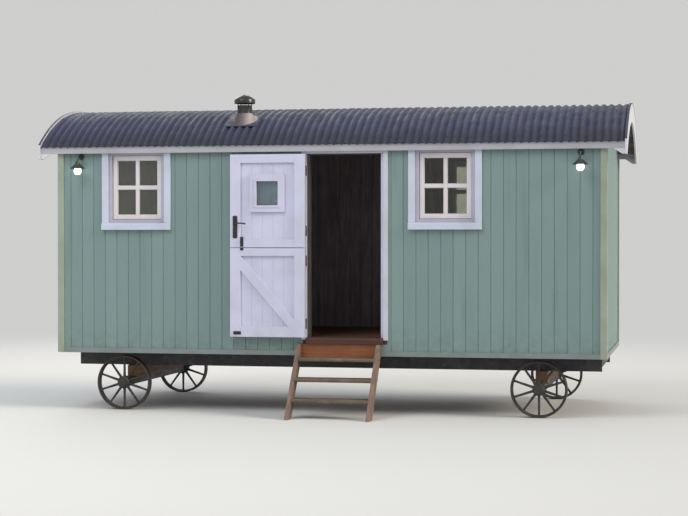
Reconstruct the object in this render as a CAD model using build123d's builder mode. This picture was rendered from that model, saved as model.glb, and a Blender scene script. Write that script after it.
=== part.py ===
from build123d import *
import os
from math import atan2, degrees, hypot, sqrt

# Shepherd's hut on four cast wheels, with a stable door folded back and a flight of steps.
# Millimetres. +X runs along the hut to the right of someone facing the door, +Z is up, and the
# door is on the -Y side. The origin is on the ground, under the middle of the whole box.

# Body
body_length = 5490
body_width = 2286
wall_thickness = 90
wall_bottom = 580
seat_gap = 0.3

# Steps and floor
step_rise = 189
tread_count = 3
step_reach = 600
steps_offset = -56
steps_inner_width = 754
stringer_thickness = 38
stringer_depth = 120
stringer_top_run = 60
stringer_top_drop = 61
tread_thickness = 35
tread_depth = 185
tread_nosing = 18
tread_edge_radius = 12
riser_thickness = 20
floor_board = 22
joist_width = 47
joist_count = 12

# Roof
crown_height = 3088
eave_height = 2672
eave_overhang = 60
end_overhang = 180
sheet_depth = 18
deck_thickness = 40
fascia_height = 70
fascia_thickness = 20
fascia_setback = 8
barge_thickness = 20
barge_crown_depth = 190
barge_cover = 6
barge_foot_width = 85
barge_foot_drop = 140

# Outside trims
corner_trim_width = 65
corner_trim_thickness = 14
base_trim_height = 48
base_trim_thickness = 14

# Windows
window_left_inset = 819
window_right_run = 559
window_eave_drop = 72
window_width = 586
window_height = 715
liner_thickness = 36
sash_setback = 22
sash_thickness = 40
sash_member = 46
sash_gap = 0.5
glass_thickness = 6
trim_width = 68
trim_thickness = 20
trim_lap = 1
sill_reach = 42
sill_fall = 9

# Door
pin_x = -171
pin_reach = 33
leaf_width = 755
leaf_bottom_gap = 5
leaf_eave_drop = 112
leaf_split = 1640
split_gap = 6
board_layer = 22
frame_layer = 22
stile_width = 105
top_rail = 84
mid_rail = 78
bottom_rail = 106
brace_width = 95
brace_drop = 70
hinge_edge_gap = 3
hinge_jamb_gap = 5
latch_jamb_gap = 8
head_gap = 5
stop_gap = 5
jamb_thickness = 38
stop_lap = 30
head_stop_lap = 12
architrave_width = 46
architrave_set = 2
architrave_foot_drop = 20
threshold_height = 60
threshold_reach = 42
threshold_bevel = 10

# Door light
light_width = 218
light_height = 238
light_top_drop = 384
light_bead = 65
light_bead_thickness = 10

# Door furniture
hinge_top_drop = 163
hinge_split_rise = 166
hinge_split_drop = 129
hinge_foot_rise = 133
hinge_height = 100
hinge_plate = 52
hinge_plate_thickness = 4
barrel_radius = 8
hinge_pin_radius = 4
hinge_pin_play = 0.3
knuckle_play = 1
lever_plate_width = 46
lever_plate_height = 222
lever_plate_thickness = 8
lever_plate_corner = 11
lever_split_rise = 205
lever_edge = 52
lever_rise = 35
lever_length = 112
lever_thickness = 12
lever_reach = 38
lever_neck_radius = 11
bolt_edge = 120
bolt_split_rise = 107
bolt_length = 96
bolt_width = 32
bolt_plate_thickness = 4
bolt_rod_radius = 8
keep_height = 22
foot_bolt_edge = 73
foot_bolt_rise = 39
foot_bolt_length = 76

# Lamps
lamp_end_inset = 235
lamp_eave_drop = 116
lamp_reach = 108
lamp_arm_radius = 8
lamp_bend = 36
lamp_plate_radius = 32
lamp_plate_thickness = 9
shade_arm_drop = 56
shade_height = 68
shade_neck = 17
shade_top_radius = 24
shade_rim_radius = 76
shade_wall = 2.5
bulb_radius = 38
bulb_neck_radius = 15
bulb_drop = 45

# Running gear
wheel_radius = 275
wheel_width = 90
rim_thickness = 16
rim_rib_depth = 9
rim_rib_root = 26
rim_rib_tip = 14
hub_radius = 62
hub_nose_radius = 46
hub_length = 150
hub_body_length = 76
hub_shoulder = 12
hub_edge = 3
spoke_count = 10
spoke_root = (34, 26)
spoke_waist = (24, 20)
spoke_tip = (42, 30)
spoke_sink = 14
spoke_flare = 24
axle_end_inset = 645
wheel_y = 1010
stub_radius = 25
stub_play = 0.3
axle_section = 70
hub_end_gap = 5
collar_radius = 42
collar_length = 14
rail_y = 700
rail_height = 150
rail_flange = 60
rail_web = 8
rail_inset = 60
crossmember_count = 5
crossmember_height = 100
crossmember_width = 50
bolster_width = 120
bolster_overlap = 40

# Flue
flue_x = -901
flue_from_centre = 770
flue_radius = 75
flue_wall = 4
flue_play = 0.3
flue_ceiling_drop = 25
flashing_length = 320
flashing_width = 300
flashing_thickness = 5
collar_rise = 66
collar_foot_drop = 75
collar_flare = 57
pipe_above_collar = 82
cowl_radius = 106
cowl_gap = 20
cowl_skirt = 40
cowl_rise = 56
cowl_wall = 4
cowl_legs = 4
cowl_leg_radius = 5

# Heights and planes that follow from the sizes above
floor_top = step_rise * (tread_count + 1)
half_length = body_length / 2
half_width = body_width / 2
window_bottom = eave_height - window_eave_drop - window_height
leaf_top = eave_height - leaf_eave_drop
light_centre_z = leaf_top - light_top_drop
axle_x = half_length - axle_end_inset
roof_half_span = half_width + eave_overhang
roof_rise = crown_height - eave_height
roof_radius = (roof_half_span**2 + roof_rise**2) / (2 * roof_rise)
roof_centre_z = crown_height - roof_radius
deck_radius = roof_radius - sheet_depth
ceiling_radius = deck_radius - deck_thickness
wall_top_radius = ceiling_radius - seat_gap
barge_half_span = roof_half_span + barge_cover

# The box of the whole object is centred on the origin, so the hut's own centre line lies behind it
hut_y = (half_width + step_reach - barge_half_span) / 2
front_y = hut_y - half_width
back_y = hut_y + half_width

front_face = Plane(origin=(0, front_y, 0), x_dir=(1, 0, 0), z_dir=(0, -1, 0))
back_face = Plane(origin=(0, back_y, 0), x_dir=(-1, 0, 0), z_dir=(0, 1, 0))
left_face = Plane(origin=(-half_length, hut_y, 0), x_dir=(0, -1, 0), z_dir=(-1, 0, 0))
right_face = Plane(origin=(half_length, hut_y, 0), x_dir=(0, 1, 0), z_dir=(1, 0, 0))

corner_low = (Align.MIN, Align.MIN)
middle_low = (Align.CENTER, Align.MIN)


def arc_height(radius, from_centre):
    """Height of a roof layer of this radius, at this distance from the hut's centre line."""
    return roof_centre_z + sqrt(radius**2 - from_centre**2)


def save(part, name):
    """Name a finished piece and write its file."""
    part.label = name
    export_step(part, f"parts/{name}.step")


os.makedirs("parts", exist_ok=True)

# Doorway, from the closed leaf outwards
leaf_bottom = floor_top + leaf_bottom_gap
closed_hinge_x = pin_x + hinge_edge_gap
closed_latch_x = closed_hinge_x + leaf_width
jamb_left_x = closed_hinge_x - hinge_jamb_gap
jamb_right_x = closed_latch_x + latch_jamb_gap
head_z = leaf_top + head_gap
rough_left_x = jamb_left_x - jamb_thickness
rough_right_x = jamb_right_x + jamb_thickness
rough_top_z = head_z + jamb_thickness
rough_bottom_z = floor_top - threshold_height
architrave_left_x = jamb_left_x - architrave_set
architrave_right_x = jamb_right_x + architrave_set

# The steps stand under the doorway, one window is set out from the left end and one from the doorway
steps_centre = (jamb_left_x + jamb_right_x) / 2 + steps_offset
window_xs = (window_left_inset - half_length, architrave_right_x + architrave_width + window_right_run)


def wall_section(y_low, width):
    """Section of a wall from its foot up to the roof's curve, in the current sketch."""
    with Locations((hut_y, roof_centre_z)):
        Circle(wall_top_radius)
        Rectangle(2 * wall_top_radius, crown_height, align=(Align.CENTER, Align.MAX))
    with Locations((y_low, wall_bottom)):
        Rectangle(width, crown_height - wall_bottom, align=corner_low, mode=Mode.INTERSECT)


def rectangle_from(x_low, z_low, x_high, z_high):
    """Upright rectangle given by two corners, in the current sketch."""
    with Locations((x_low, z_low)):
        Rectangle(x_high - x_low, z_high - z_low, align=corner_low)


def window_holes(face, xs):
    """Window holes cut through the wall behind this face."""
    with BuildSketch(face) as holes:
        for x in xs:
            with Locations((x, window_bottom)):
                Rectangle(window_width, window_height, align=middle_low)
    extrude(holes.sketch, amount=-wall_thickness, mode=Mode.SUBTRACT)


# Front wall, in four pieces round the doorway
with BuildPart() as front_wall_left:
    with BuildSketch(Plane.YZ.offset(-half_length)):
        wall_section(front_y, wall_thickness)
    extrude(amount=rough_left_x + half_length)
    window_holes(front_face, window_xs[:1])
save(front_wall_left.part, "front_wall_left")

with BuildPart() as front_wall_right:
    with BuildSketch(Plane.YZ.offset(rough_right_x)):
        wall_section(front_y, wall_thickness)
    extrude(amount=half_length - rough_right_x)
    window_holes(front_face, window_xs[1:])
save(front_wall_right.part, "front_wall_right")

with BuildPart() as front_wall_header:
    with BuildSketch(Plane.YZ.offset(rough_left_x)):
        wall_section(front_y, wall_thickness)
    extrude(amount=rough_right_x - rough_left_x)
    split(bisect_by=Plane.XY.offset(rough_top_z), keep=Keep.TOP)
save(front_wall_header.part, "front_wall_header")

with BuildPart() as front_wall_sill:
    with BuildSketch(front_face):
        rectangle_from(rough_left_x, wall_bottom, rough_right_x, rough_bottom_z)
    extrude(amount=-wall_thickness)
save(front_wall_sill.part, "front_wall_sill")

# Back wall, with the same two windows
with BuildPart() as back_wall:
    with BuildSketch(Plane.YZ.offset(-half_length)):
        wall_section(back_y - wall_thickness, wall_thickness)
    extrude(amount=body_length)
    window_holes(back_face, [-x for x in window_xs])
save(back_wall.part, "back_wall")

# End walls, between the long walls, with curved tops
inner_width = body_width - 2 * wall_thickness
for name, x_low in (("end_wall_left", -half_length), ("end_wall_right", half_length - wall_thickness)):
    with BuildPart() as end_wall:
        with BuildSketch(Plane.YZ.offset(x_low)):
            wall_section(front_y + wall_thickness, inner_width)
        extrude(amount=wall_thickness)
    save(end_wall.part, name)

# Floor boards on joists
inner_length = body_length - 2 * wall_thickness
joist_top = floor_top - floor_board
with BuildPart() as floor_deck:
    with BuildSketch(Plane.XY.offset(joist_top)):
        with Locations((0, hut_y)):
            Rectangle(inner_length, inner_width)
    extrude(amount=floor_board)
save(floor_deck.part, "floor_deck")

joist_spacing = (inner_length - joist_width) / (joist_count - 1)
with BuildPart() as floor_joists:
    with BuildSketch(Plane.XY.offset(wall_bottom)):
        with Locations((0, hut_y)):
            with GridLocations(joist_spacing, 0, joist_count, 1):
                Rectangle(joist_width, inner_width)
    extrude(amount=joist_top - wall_bottom)
save(floor_joists.part, "floor_joists")

# Roof: boarded deck, the sheet over it, fascias along the eaves and curved bargeboards
roof_length = body_length + 2 * end_overhang
deck_half_span = roof_half_span - fascia_setback - fascia_thickness
flue_y = hut_y - flue_from_centre
flue_foot = arc_height(ceiling_radius, flue_from_centre + flue_radius) - flue_ceiling_drop


def roof_band(outer_radius, inner_radius, half_span):
    """Section of a curved roof layer, in the current sketch."""
    with Locations((hut_y, roof_centre_z)):
        Circle(outer_radius)
        Circle(inner_radius, mode=Mode.SUBTRACT)
        Rectangle(2 * half_span, 2 * roof_radius, align=middle_low, mode=Mode.INTERSECT)


def flue_hole():
    """Round hole for the flue through the current part."""
    with BuildSketch(Plane.XY.offset(flue_foot)) as hole:
        with Locations((flue_x, flue_y)):
            Circle(flue_radius + flue_play)
    extrude(hole.sketch, amount=crown_height - flue_foot, mode=Mode.SUBTRACT)


with BuildPart() as roof_deck:
    with BuildSketch(Plane.YZ.offset(-roof_length / 2)):
        roof_band(deck_radius, ceiling_radius, deck_half_span)
    extrude(amount=roof_length)
    flue_hole()
save(roof_deck.part, "roof_deck")

with BuildPart() as roof_sheet:
    with BuildSketch(Plane.YZ.offset(-roof_length / 2)):
        roof_band(roof_radius, deck_radius + seat_gap, roof_half_span)
    extrude(amount=roof_length)
    flue_hole()
save(roof_sheet.part, "roof_sheet")

fascia_top = arc_height(deck_radius, deck_half_span + fascia_thickness)
with BuildPart() as fascias:
    with BuildSketch(Plane.YZ.offset(-roof_length / 2)):
        for side in (-1, 1):
            fascia_y = hut_y + side * (deck_half_span + fascia_thickness / 2)
            with Locations((fascia_y, fascia_top - fascia_height)):
                Rectangle(fascia_thickness, fascia_height, align=middle_low)
    extrude(amount=roof_length)
save(fascias.part, "fascias")

barge_radius = roof_radius + barge_cover
barge_crown = arc_height(barge_radius, 0)
barge_end_top = arc_height(barge_radius, barge_half_span)
barge_foot_bottom = eave_height - barge_foot_drop
foot_inner = barge_half_span - barge_foot_width
with BuildPart() as bargeboards:
    for x_low in (-roof_length / 2 - barge_thickness, roof_length / 2):
        with BuildSketch(Plane.YZ.offset(x_low)):
            with BuildLine():
                ThreePointArc((hut_y - barge_half_span, barge_end_top), (hut_y, barge_crown),
                              (hut_y + barge_half_span, barge_end_top))
                Polyline((hut_y + barge_half_span, barge_end_top), (hut_y + barge_half_span, barge_foot_bottom),
                         (hut_y + foot_inner, barge_foot_bottom))
                ThreePointArc((hut_y + foot_inner, barge_foot_bottom), (hut_y, barge_crown - barge_crown_depth),
                              (hut_y - foot_inner, barge_foot_bottom))
                Polyline((hut_y - foot_inner, barge_foot_bottom), (hut_y - barge_half_span, barge_foot_bottom),
                         (hut_y - barge_half_span, barge_end_top))
            make_face()
        extrude(amount=barge_thickness)
save(bargeboards.part, "bargeboards")

# Corner trims, two boards lapped round each corner
corner_trim_top = arc_height(wall_top_radius, half_width + corner_trim_thickness)
with BuildPart() as corner_trims:
    with BuildSketch(Plane.XY.offset(wall_bottom)):
        for side_x, align_x in ((-1, Align.MIN), (1, Align.MAX)):
            for side_y, align_y in ((-1, Align.MIN), (1, Align.MAX)):
                corner_x = side_x * (half_length + corner_trim_thickness)
                corner_y = hut_y + side_y * (half_width + corner_trim_thickness)
                with Locations((corner_x, corner_y)):
                    Rectangle(corner_trim_width, corner_trim_thickness, align=(align_x, align_y))
                    Rectangle(corner_trim_thickness, corner_trim_width, align=(align_x, align_y))
    extrude(amount=corner_trim_top - wall_bottom)
save(corner_trims.part, "corner_trims")

# Base trims along the foot of the walls, clear of the steps
trim_end = corner_trim_width - corner_trim_thickness
steps_half_width = steps_inner_width / 2 + stringer_thickness
steps_left_x = steps_centre - steps_half_width
steps_right_x = steps_centre + steps_half_width
base_trim_top = wall_bottom + base_trim_height
with BuildPart() as base_trims:
    with BuildSketch(front_face):
        rectangle_from(trim_end - half_length, wall_bottom, steps_left_x, base_trim_top)
        rectangle_from(steps_right_x, wall_bottom, half_length - trim_end, base_trim_top)
    extrude(amount=base_trim_thickness)
    with BuildSketch(back_face):
        rectangle_from(trim_end - half_length, wall_bottom, half_length - trim_end, base_trim_top)
    extrude(amount=base_trim_thickness)
    for face in (left_face, right_face):
        with BuildSketch(face):
            rectangle_from(trim_end - half_width, wall_bottom, half_width - trim_end, base_trim_top)
        extrude(amount=base_trim_thickness)
save(base_trims.part, "base_trims")

# Windows: liner, trim with sill, sash and glass, at the same places front and back
window_places = [(front_face, x) for x in window_xs] + [(back_face, -x) for x in window_xs]
window_centre_z = window_bottom + window_height / 2
sash_width = window_width - 2 * (liner_thickness + sash_gap)
sash_height = window_height - 2 * (liner_thickness + sash_gap)
pane_width = sash_width - 2 * sash_member
pane_height = sash_height - 2 * sash_member


def ring(x, z, outer_width, outer_height, inner_width, inner_height):
    """Rectangular ring in the current sketch."""
    with Locations((x, z)):
        Rectangle(outer_width, outer_height)
        Rectangle(inner_width, inner_height, mode=Mode.SUBTRACT)


with BuildPart() as window_frames:
    for face, x in window_places:
        with BuildSketch(face):
            ring(x, window_centre_z, window_width, window_height,
                 window_width - 2 * liner_thickness, window_height - 2 * liner_thickness)
        extrude(amount=-wall_thickness)
save(window_frames.part, "window_frames")

trim_top_z = arc_height(wall_top_radius, half_width + trim_thickness)
trim_outer_width = window_width + 2 * (trim_width - trim_lap)
trim_bottom_z = window_bottom + trim_lap - trim_width
with BuildPart() as window_trims:
    for face, x in window_places:
        with BuildSketch(face):
            with Locations((x, trim_bottom_z)):
                Rectangle(trim_outer_width, trim_top_z - trim_bottom_z, align=middle_low)
            with Locations((x, window_bottom + trim_lap)):
                Rectangle(window_width - 2 * trim_lap, window_height - 2 * trim_lap, align=middle_low,
                          mode=Mode.SUBTRACT)
        extrude(amount=trim_thickness)
        with BuildSketch(face):
            with Locations((x, trim_bottom_z)):
                Rectangle(trim_outer_width, trim_width, align=middle_low)
        sill = extrude(amount=sill_reach)
        outwards = Axis((0, 0, 0), tuple(face.z_dir))
        sill_nose = sill.edges().filter_by(Axis.X).group_by(Axis.Z)[-1].sort_by(outwards)[-1]
        chamfer(sill_nose, sill_fall, sill_reach - trim_thickness)
save(window_trims.part, "window_trims")

with BuildPart() as window_sashes:
    for face, x in window_places:
        with BuildSketch(face.offset(-sash_setback)):
            ring(x, window_centre_z, sash_width, sash_height, pane_width, pane_height)
        extrude(amount=-sash_thickness)
save(window_sashes.part, "window_sashes")

with BuildPart() as window_glass:
    for face, x in window_places:
        with BuildSketch(face.offset(-sash_setback - sash_thickness / 2)):
            with Locations((x, window_centre_z)):
                Rectangle(pane_width, pane_height)
        extrude(amount=-glass_thickness)
save(window_glass.part, "window_glass")

# Door frame, stops, architraves and threshold
leaf_thickness = board_layer + frame_layer
closed_back_depth = leaf_thickness - trim_thickness
stop_depth = closed_back_depth + stop_gap
opening_left_x = jamb_left_x + stop_lap
opening_right_x = jamb_right_x - stop_lap
opening_top_z = head_z - head_stop_lap
with BuildPart() as door_frame:
    with BuildSketch(front_face):
        rectangle_from(rough_left_x, floor_top, jamb_left_x, rough_top_z)
        rectangle_from(jamb_right_x, floor_top, rough_right_x, rough_top_z)
        rectangle_from(jamb_left_x + seat_gap, head_z, jamb_right_x - seat_gap, rough_top_z)
    extrude(amount=-wall_thickness)
save(door_frame.part, "door_frame")

with BuildPart() as door_stops:
    with BuildSketch(front_face.offset(-stop_depth)):
        rectangle_from(jamb_left_x, floor_top, opening_left_x, head_z)
        rectangle_from(opening_right_x, floor_top, jamb_right_x, head_z)
        rectangle_from(opening_left_x + seat_gap, opening_top_z, opening_right_x - seat_gap, head_z)
    extrude(amount=stop_depth - wall_thickness)
save(door_stops.part, "door_stops")

architrave_foot_z = floor_top - architrave_foot_drop
with BuildPart() as door_architraves:
    with BuildSketch(front_face):
        for x_low in (architrave_left_x - architrave_width, architrave_right_x):
            rectangle_from(x_low, architrave_foot_z, x_low + architrave_width, trim_top_z)
        rectangle_from(architrave_left_x + seat_gap, head_z + architrave_set,
                       architrave_right_x - seat_gap, trim_top_z)
    extrude(amount=trim_thickness)
save(door_architraves.part, "door_architraves")

with BuildPart() as threshold:
    with BuildSketch(front_face):
        rectangle_from(rough_left_x, rough_bottom_z, rough_right_x, floor_top)
    extrude(amount=-wall_thickness)
    with BuildSketch(front_face):
        rectangle_from(architrave_left_x + seat_gap, rough_bottom_z, architrave_right_x - seat_gap, floor_top)
    extrude(amount=threshold_reach)
    front_top_edge = threshold.edges().filter_by(Axis.X).group_by(Axis.Z)[-1].sort_by(Axis.Y)[0]
    chamfer(front_top_edge, threshold_bevel)
save(threshold.part, "threshold")

# Door leaves, folded back against the wall, so their inner face looks outwards
leaf_back = 2 * pin_reach - trim_thickness
leaf_hinge_x = pin_x - hinge_edge_gap
leaf_latch_x = leaf_hinge_x - leaf_width
board_plane = front_face.offset(leaf_back)
frame_plane = front_face.offset(leaf_back + board_layer)
inner_face = front_face.offset(leaf_back + leaf_thickness)
upper_bottom = leaf_split + split_gap / 2
lower_top = leaf_split - split_gap / 2
panel_left_x = leaf_latch_x + stile_width
panel_right_x = leaf_hinge_x - stile_width
light_x = (leaf_hinge_x + leaf_latch_x) / 2


def leaf_frame(z_low, z_high, low_rail, high_rail):
    """Stiles and rails of a leaf, in the current sketch."""
    rectangle_from(leaf_latch_x, z_low, leaf_hinge_x, z_high)
    with Locations((panel_left_x, z_low + low_rail)):
        Rectangle(panel_right_x - panel_left_x, z_high - high_rail - z_low - low_rail, align=corner_low,
                  mode=Mode.SUBTRACT)


with BuildPart() as door_upper_leaf:
    with BuildSketch(board_plane):
        rectangle_from(leaf_latch_x, upper_bottom, leaf_hinge_x, leaf_top)
    extrude(amount=board_layer)
    with BuildSketch(frame_plane):
        leaf_frame(upper_bottom, leaf_top, mid_rail, top_rail)
    extrude(amount=frame_layer)
    with BuildSketch(board_plane):
        with Locations((light_x, light_centre_z)):
            Rectangle(light_width, light_height)
    extrude(amount=leaf_thickness, mode=Mode.SUBTRACT)
save(door_upper_leaf.part, "door_upper_leaf")

# The brace rises from the hinge side's foot to the latch side
brace_low = (panel_right_x, leaf_bottom + bottom_rail)
brace_high = (panel_left_x, lower_top - mid_rail - brace_drop)
brace_run = (brace_high[0] - brace_low[0], brace_high[1] - brace_low[1])
brace_angle = degrees(atan2(brace_run[1], brace_run[0]))
brace_middle = ((brace_low[0] + brace_high[0]) / 2, (brace_low[1] + brace_high[1]) / 2)
with BuildPart() as door_lower_leaf:
    with BuildSketch(board_plane):
        rectangle_from(leaf_latch_x, leaf_bottom, leaf_hinge_x, lower_top)
    extrude(amount=board_layer)
    with BuildSketch(frame_plane):
        leaf_frame(leaf_bottom, lower_top, bottom_rail, mid_rail)
    extrude(amount=frame_layer)
    with BuildSketch(frame_plane):
        with Locations(Location(brace_middle, brace_angle)):
            Rectangle(hypot(*brace_run) + 2 * brace_width, brace_width)
        with Locations((panel_left_x, leaf_bottom + bottom_rail)):
            Rectangle(panel_right_x - panel_left_x, lower_top - mid_rail - leaf_bottom - bottom_rail,
                      align=corner_low, mode=Mode.INTERSECT)
    extrude(amount=frame_layer)
save(door_lower_leaf.part, "door_lower_leaf")

with BuildPart() as door_light_beads:
    with BuildSketch(frame_plane):
        ring(light_x, light_centre_z, light_width + 2 * light_bead, light_height + 2 * light_bead,
             light_width, light_height)
    extrude(amount=frame_layer + light_bead_thickness)
save(door_light_beads.part, "door_light_beads")

with BuildPart() as door_light_glass:
    with BuildSketch(front_face.offset(leaf_back + board_layer / 2)):
        with Locations((light_x, light_centre_z)):
            Rectangle(light_width, light_height)
    extrude(amount=glass_thickness)
save(door_light_glass.part, "door_light_glass")

# Hinges: the fixed half carries the pin, the leaf's half turns on it
pin_y = front_y - pin_reach
web_length = barrel_radius
hinge_heights_upper = (leaf_top - hinge_top_drop, leaf_split + hinge_split_rise)
hinge_heights_lower = (leaf_split - hinge_split_drop, leaf_bottom + hinge_foot_rise)


def fixed_hinge(z_middle):
    """Plate on the architrave, lower knuckle and the pin, in the current part."""
    z_low = z_middle - hinge_height / 2
    with BuildSketch(Plane.XY.offset(z_low)) as plate:
        with Locations((leaf_hinge_x - architrave_set, front_y - trim_thickness)):
            Rectangle(hinge_plate, hinge_plate_thickness, align=(Align.MAX, Align.MAX))
    extrude(plate.sketch, amount=hinge_height)
    with BuildSketch(Plane.XY.offset(z_low)) as knuckle:
        with Locations((pin_x, pin_y)):
            Circle(barrel_radius)
        with Locations((pin_x, front_y - trim_thickness)):
            Rectangle(web_length, pin_reach - trim_thickness, align=(Align.MAX, Align.MAX))
    extrude(knuckle.sketch, amount=(hinge_height - knuckle_play) / 2)
    with BuildSketch(Plane.XY.offset(z_middle - knuckle_play / 2)) as pin:
        with Locations((pin_x, pin_y)):
            Circle(hinge_pin_radius)
    extrude(pin.sketch, amount=(hinge_height + knuckle_play) / 2)


def leaf_hinge(z_middle):
    """Plate on the leaf's outer face and the upper knuckle round the pin, in the current part."""
    plate_y = front_y - leaf_back
    with BuildSketch(Plane.XY.offset(z_middle - hinge_height / 2)) as plate:
        with Locations((leaf_hinge_x, plate_y)):
            Rectangle(hinge_plate, hinge_plate_thickness, align=(Align.MAX, Align.MIN))
    extrude(plate.sketch, amount=hinge_height)
    with BuildSketch(Plane.XY.offset(z_middle + knuckle_play / 2)) as knuckle:
        with Locations((pin_x, plate_y)):
            Rectangle(web_length, leaf_back - pin_reach, align=(Align.MAX, Align.MIN))
        with Locations((pin_x, pin_y)):
            Circle(barrel_radius)
            Circle(hinge_pin_radius + hinge_pin_play, mode=Mode.SUBTRACT)
    extrude(knuckle.sketch, amount=(hinge_height - knuckle_play) / 2)


with BuildPart() as door_frame_hinges:
    for z in hinge_heights_upper + hinge_heights_lower:
        fixed_hinge(z)
save(door_frame_hinges.part, "door_frame_hinges")

with BuildPart() as door_upper_hinges:
    for z in hinge_heights_upper:
        leaf_hinge(z)
save(door_upper_hinges.part, "door_upper_hinges")

with BuildPart() as door_lower_hinges:
    for z in hinge_heights_lower:
        leaf_hinge(z)
save(door_lower_hinges.part, "door_lower_hinges")

# Lever handles on both faces of the upper leaf
lever_x = leaf_latch_x + lever_edge
lever_centre_z = leaf_split + lever_split_rise
lever_z = lever_centre_z + lever_rise
leaf_outer_face = Plane(origin=(0, front_y - leaf_back, 0), x_dir=(-1, 0, 0), z_dir=(0, 1, 0))
with BuildPart() as door_handles:
    for face, x_sign in ((inner_face, 1), (leaf_outer_face, -1)):
        with BuildSketch(face):
            with Locations((x_sign * lever_x, lever_centre_z)):
                RectangleRounded(lever_plate_width, lever_plate_height, lever_plate_corner)
        extrude(amount=lever_plate_thickness)
        with BuildSketch(face):
            with Locations((x_sign * lever_x, lever_z)):
                Circle(lever_neck_radius)
        extrude(amount=lever_reach)
        with BuildSketch(face.offset(lever_reach - lever_thickness)):
            with Locations((x_sign * (lever_x + lever_length / 2), lever_z)):
                SlotOverall(lever_length + 2 * lever_neck_radius, 2 * lever_neck_radius)
        extrude(amount=lever_thickness)
save(door_handles.part, "door_handles")

# Bolt that joins the two leaves, drawn back, its keep, and the foot bolt
bolt_x = leaf_latch_x + bolt_edge
bolt_top = leaf_split + bolt_split_rise
bolt_y = front_y - leaf_back - leaf_thickness - bolt_plate_thickness - bolt_rod_radius / 2
with BuildPart() as door_upper_bolt:
    with BuildSketch(inner_face):
        with Locations((bolt_x, bolt_top)):
            Rectangle(bolt_width, bolt_length, align=(Align.CENTER, Align.MAX))
    extrude(amount=bolt_plate_thickness)
    with BuildSketch(Plane.XY.offset(bolt_top - bolt_length)):
        with Locations((bolt_x, bolt_y)):
            Circle(bolt_rod_radius)
            Rectangle(2 * bolt_rod_radius, bolt_rod_radius, align=middle_low)
    extrude(amount=bolt_length)
save(door_upper_bolt.part, "door_upper_bolt")

foot_bolt_x = leaf_latch_x + foot_bolt_edge
foot_bolt_z = leaf_bottom + foot_bolt_rise
with BuildPart() as door_lower_bolts:
    with BuildSketch(inner_face):
        with Locations((bolt_x, lower_top)):
            Rectangle(bolt_width, keep_height, align=(Align.CENTER, Align.MAX))
    extrude(amount=bolt_plate_thickness + bolt_rod_radius)
    with BuildSketch(inner_face):
        with Locations((foot_bolt_x, foot_bolt_z)):
            Rectangle(foot_bolt_length, bolt_width)
    extrude(amount=bolt_plate_thickness)
    with BuildSketch(inner_face):
        with Locations((foot_bolt_x, foot_bolt_z)):
            Rectangle(foot_bolt_length, 2 * bolt_rod_radius)
    extrude(amount=bolt_plate_thickness + 2 * bolt_rod_radius)
save(door_lower_bolts.part, "door_lower_bolts")

# Lamps under the eaves at both ends of the front
lamp_x = half_length - lamp_end_inset
lamp_y = front_y - lamp_reach
lamp_arm_z = eave_height - lamp_eave_drop
shade_top_z = lamp_arm_z - shade_arm_drop
with BuildPart() as lamp_brackets:
    for x in (-lamp_x, lamp_x):
        with BuildSketch(front_face):
            with Locations((x, lamp_arm_z)):
                Circle(lamp_plate_radius)
        extrude(amount=lamp_plate_thickness)
        with BuildLine() as arm:
            FilletPolyline((x, front_y, lamp_arm_z), (x, lamp_y, lamp_arm_z), (x, lamp_y, shade_top_z),
                           radius=lamp_bend)
        with BuildSketch(front_face):
            with Locations((x, lamp_arm_z)):
                Circle(lamp_arm_radius)
        sweep(path=arm.wires()[0])
save(lamp_brackets.part, "lamp_brackets")

shade_top_inner = shade_top_radius - shade_wall
shade_rim_inner = shade_rim_radius - shade_wall
with BuildPart() as lamp_shades:
    for x in (-lamp_x, lamp_x):
        with BuildSketch(Plane(origin=(x, lamp_y, shade_top_z), x_dir=(1, 0, 0), z_dir=(0, -1, 0))):
            with BuildLine():
                Polyline((0, 0), (shade_top_radius, 0), (shade_top_radius, -shade_neck),
                         (shade_rim_radius, -shade_height), (shade_rim_inner, -shade_height),
                         (shade_top_inner, -shade_neck), (shade_top_inner, -shade_wall),
                         (0, -shade_wall), close=True)
            make_face()
        revolve(axis=Axis((x, lamp_y, 0), (0, 0, 1)))
save(lamp_shades.part, "lamp_shades")

bulb_centre = shade_height + bulb_drop / 2
with BuildPart() as lamp_bulbs:
    for x in (-lamp_x, lamp_x):
        with Locations((x, lamp_y, shade_top_z - bulb_centre)):
            Sphere(bulb_radius)
        with BuildSketch(Plane.XY.offset(shade_top_z - bulb_centre)):
            with Locations((x, lamp_y)):
                Circle(bulb_neck_radius)
        extrude(amount=bulb_centre - shade_wall)
save(lamp_bulbs.part, "lamp_bulbs")

# Steps: raking side boards, three open treads and the board behind the top tread
stringer_top = floor_top - stringer_top_drop
rake_run = step_reach - stringer_top_run
rake_width = stringer_depth * hypot(rake_run, stringer_top) / stringer_top
wall_meets_z = (step_reach - rake_width) * stringer_top / rake_run


def rake_reach(z):
    """How far the front edge of the side boards stands out from the wall at this height."""
    return step_reach - rake_run * z / stringer_top


with BuildPart() as step_stringers:
    for x_low in (steps_left_x, steps_right_x - stringer_thickness):
        with BuildSketch(Plane.YZ.offset(x_low)):
            with BuildLine():
                Polyline((front_y - step_reach, 0), (front_y - stringer_top_run, stringer_top),
                         (front_y - seat_gap, stringer_top), (front_y - seat_gap, wall_meets_z),
                         (front_y - step_reach + rake_width, 0), close=True)
            make_face()
        extrude(amount=stringer_thickness)
save(step_stringers.part, "step_stringers")

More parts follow.
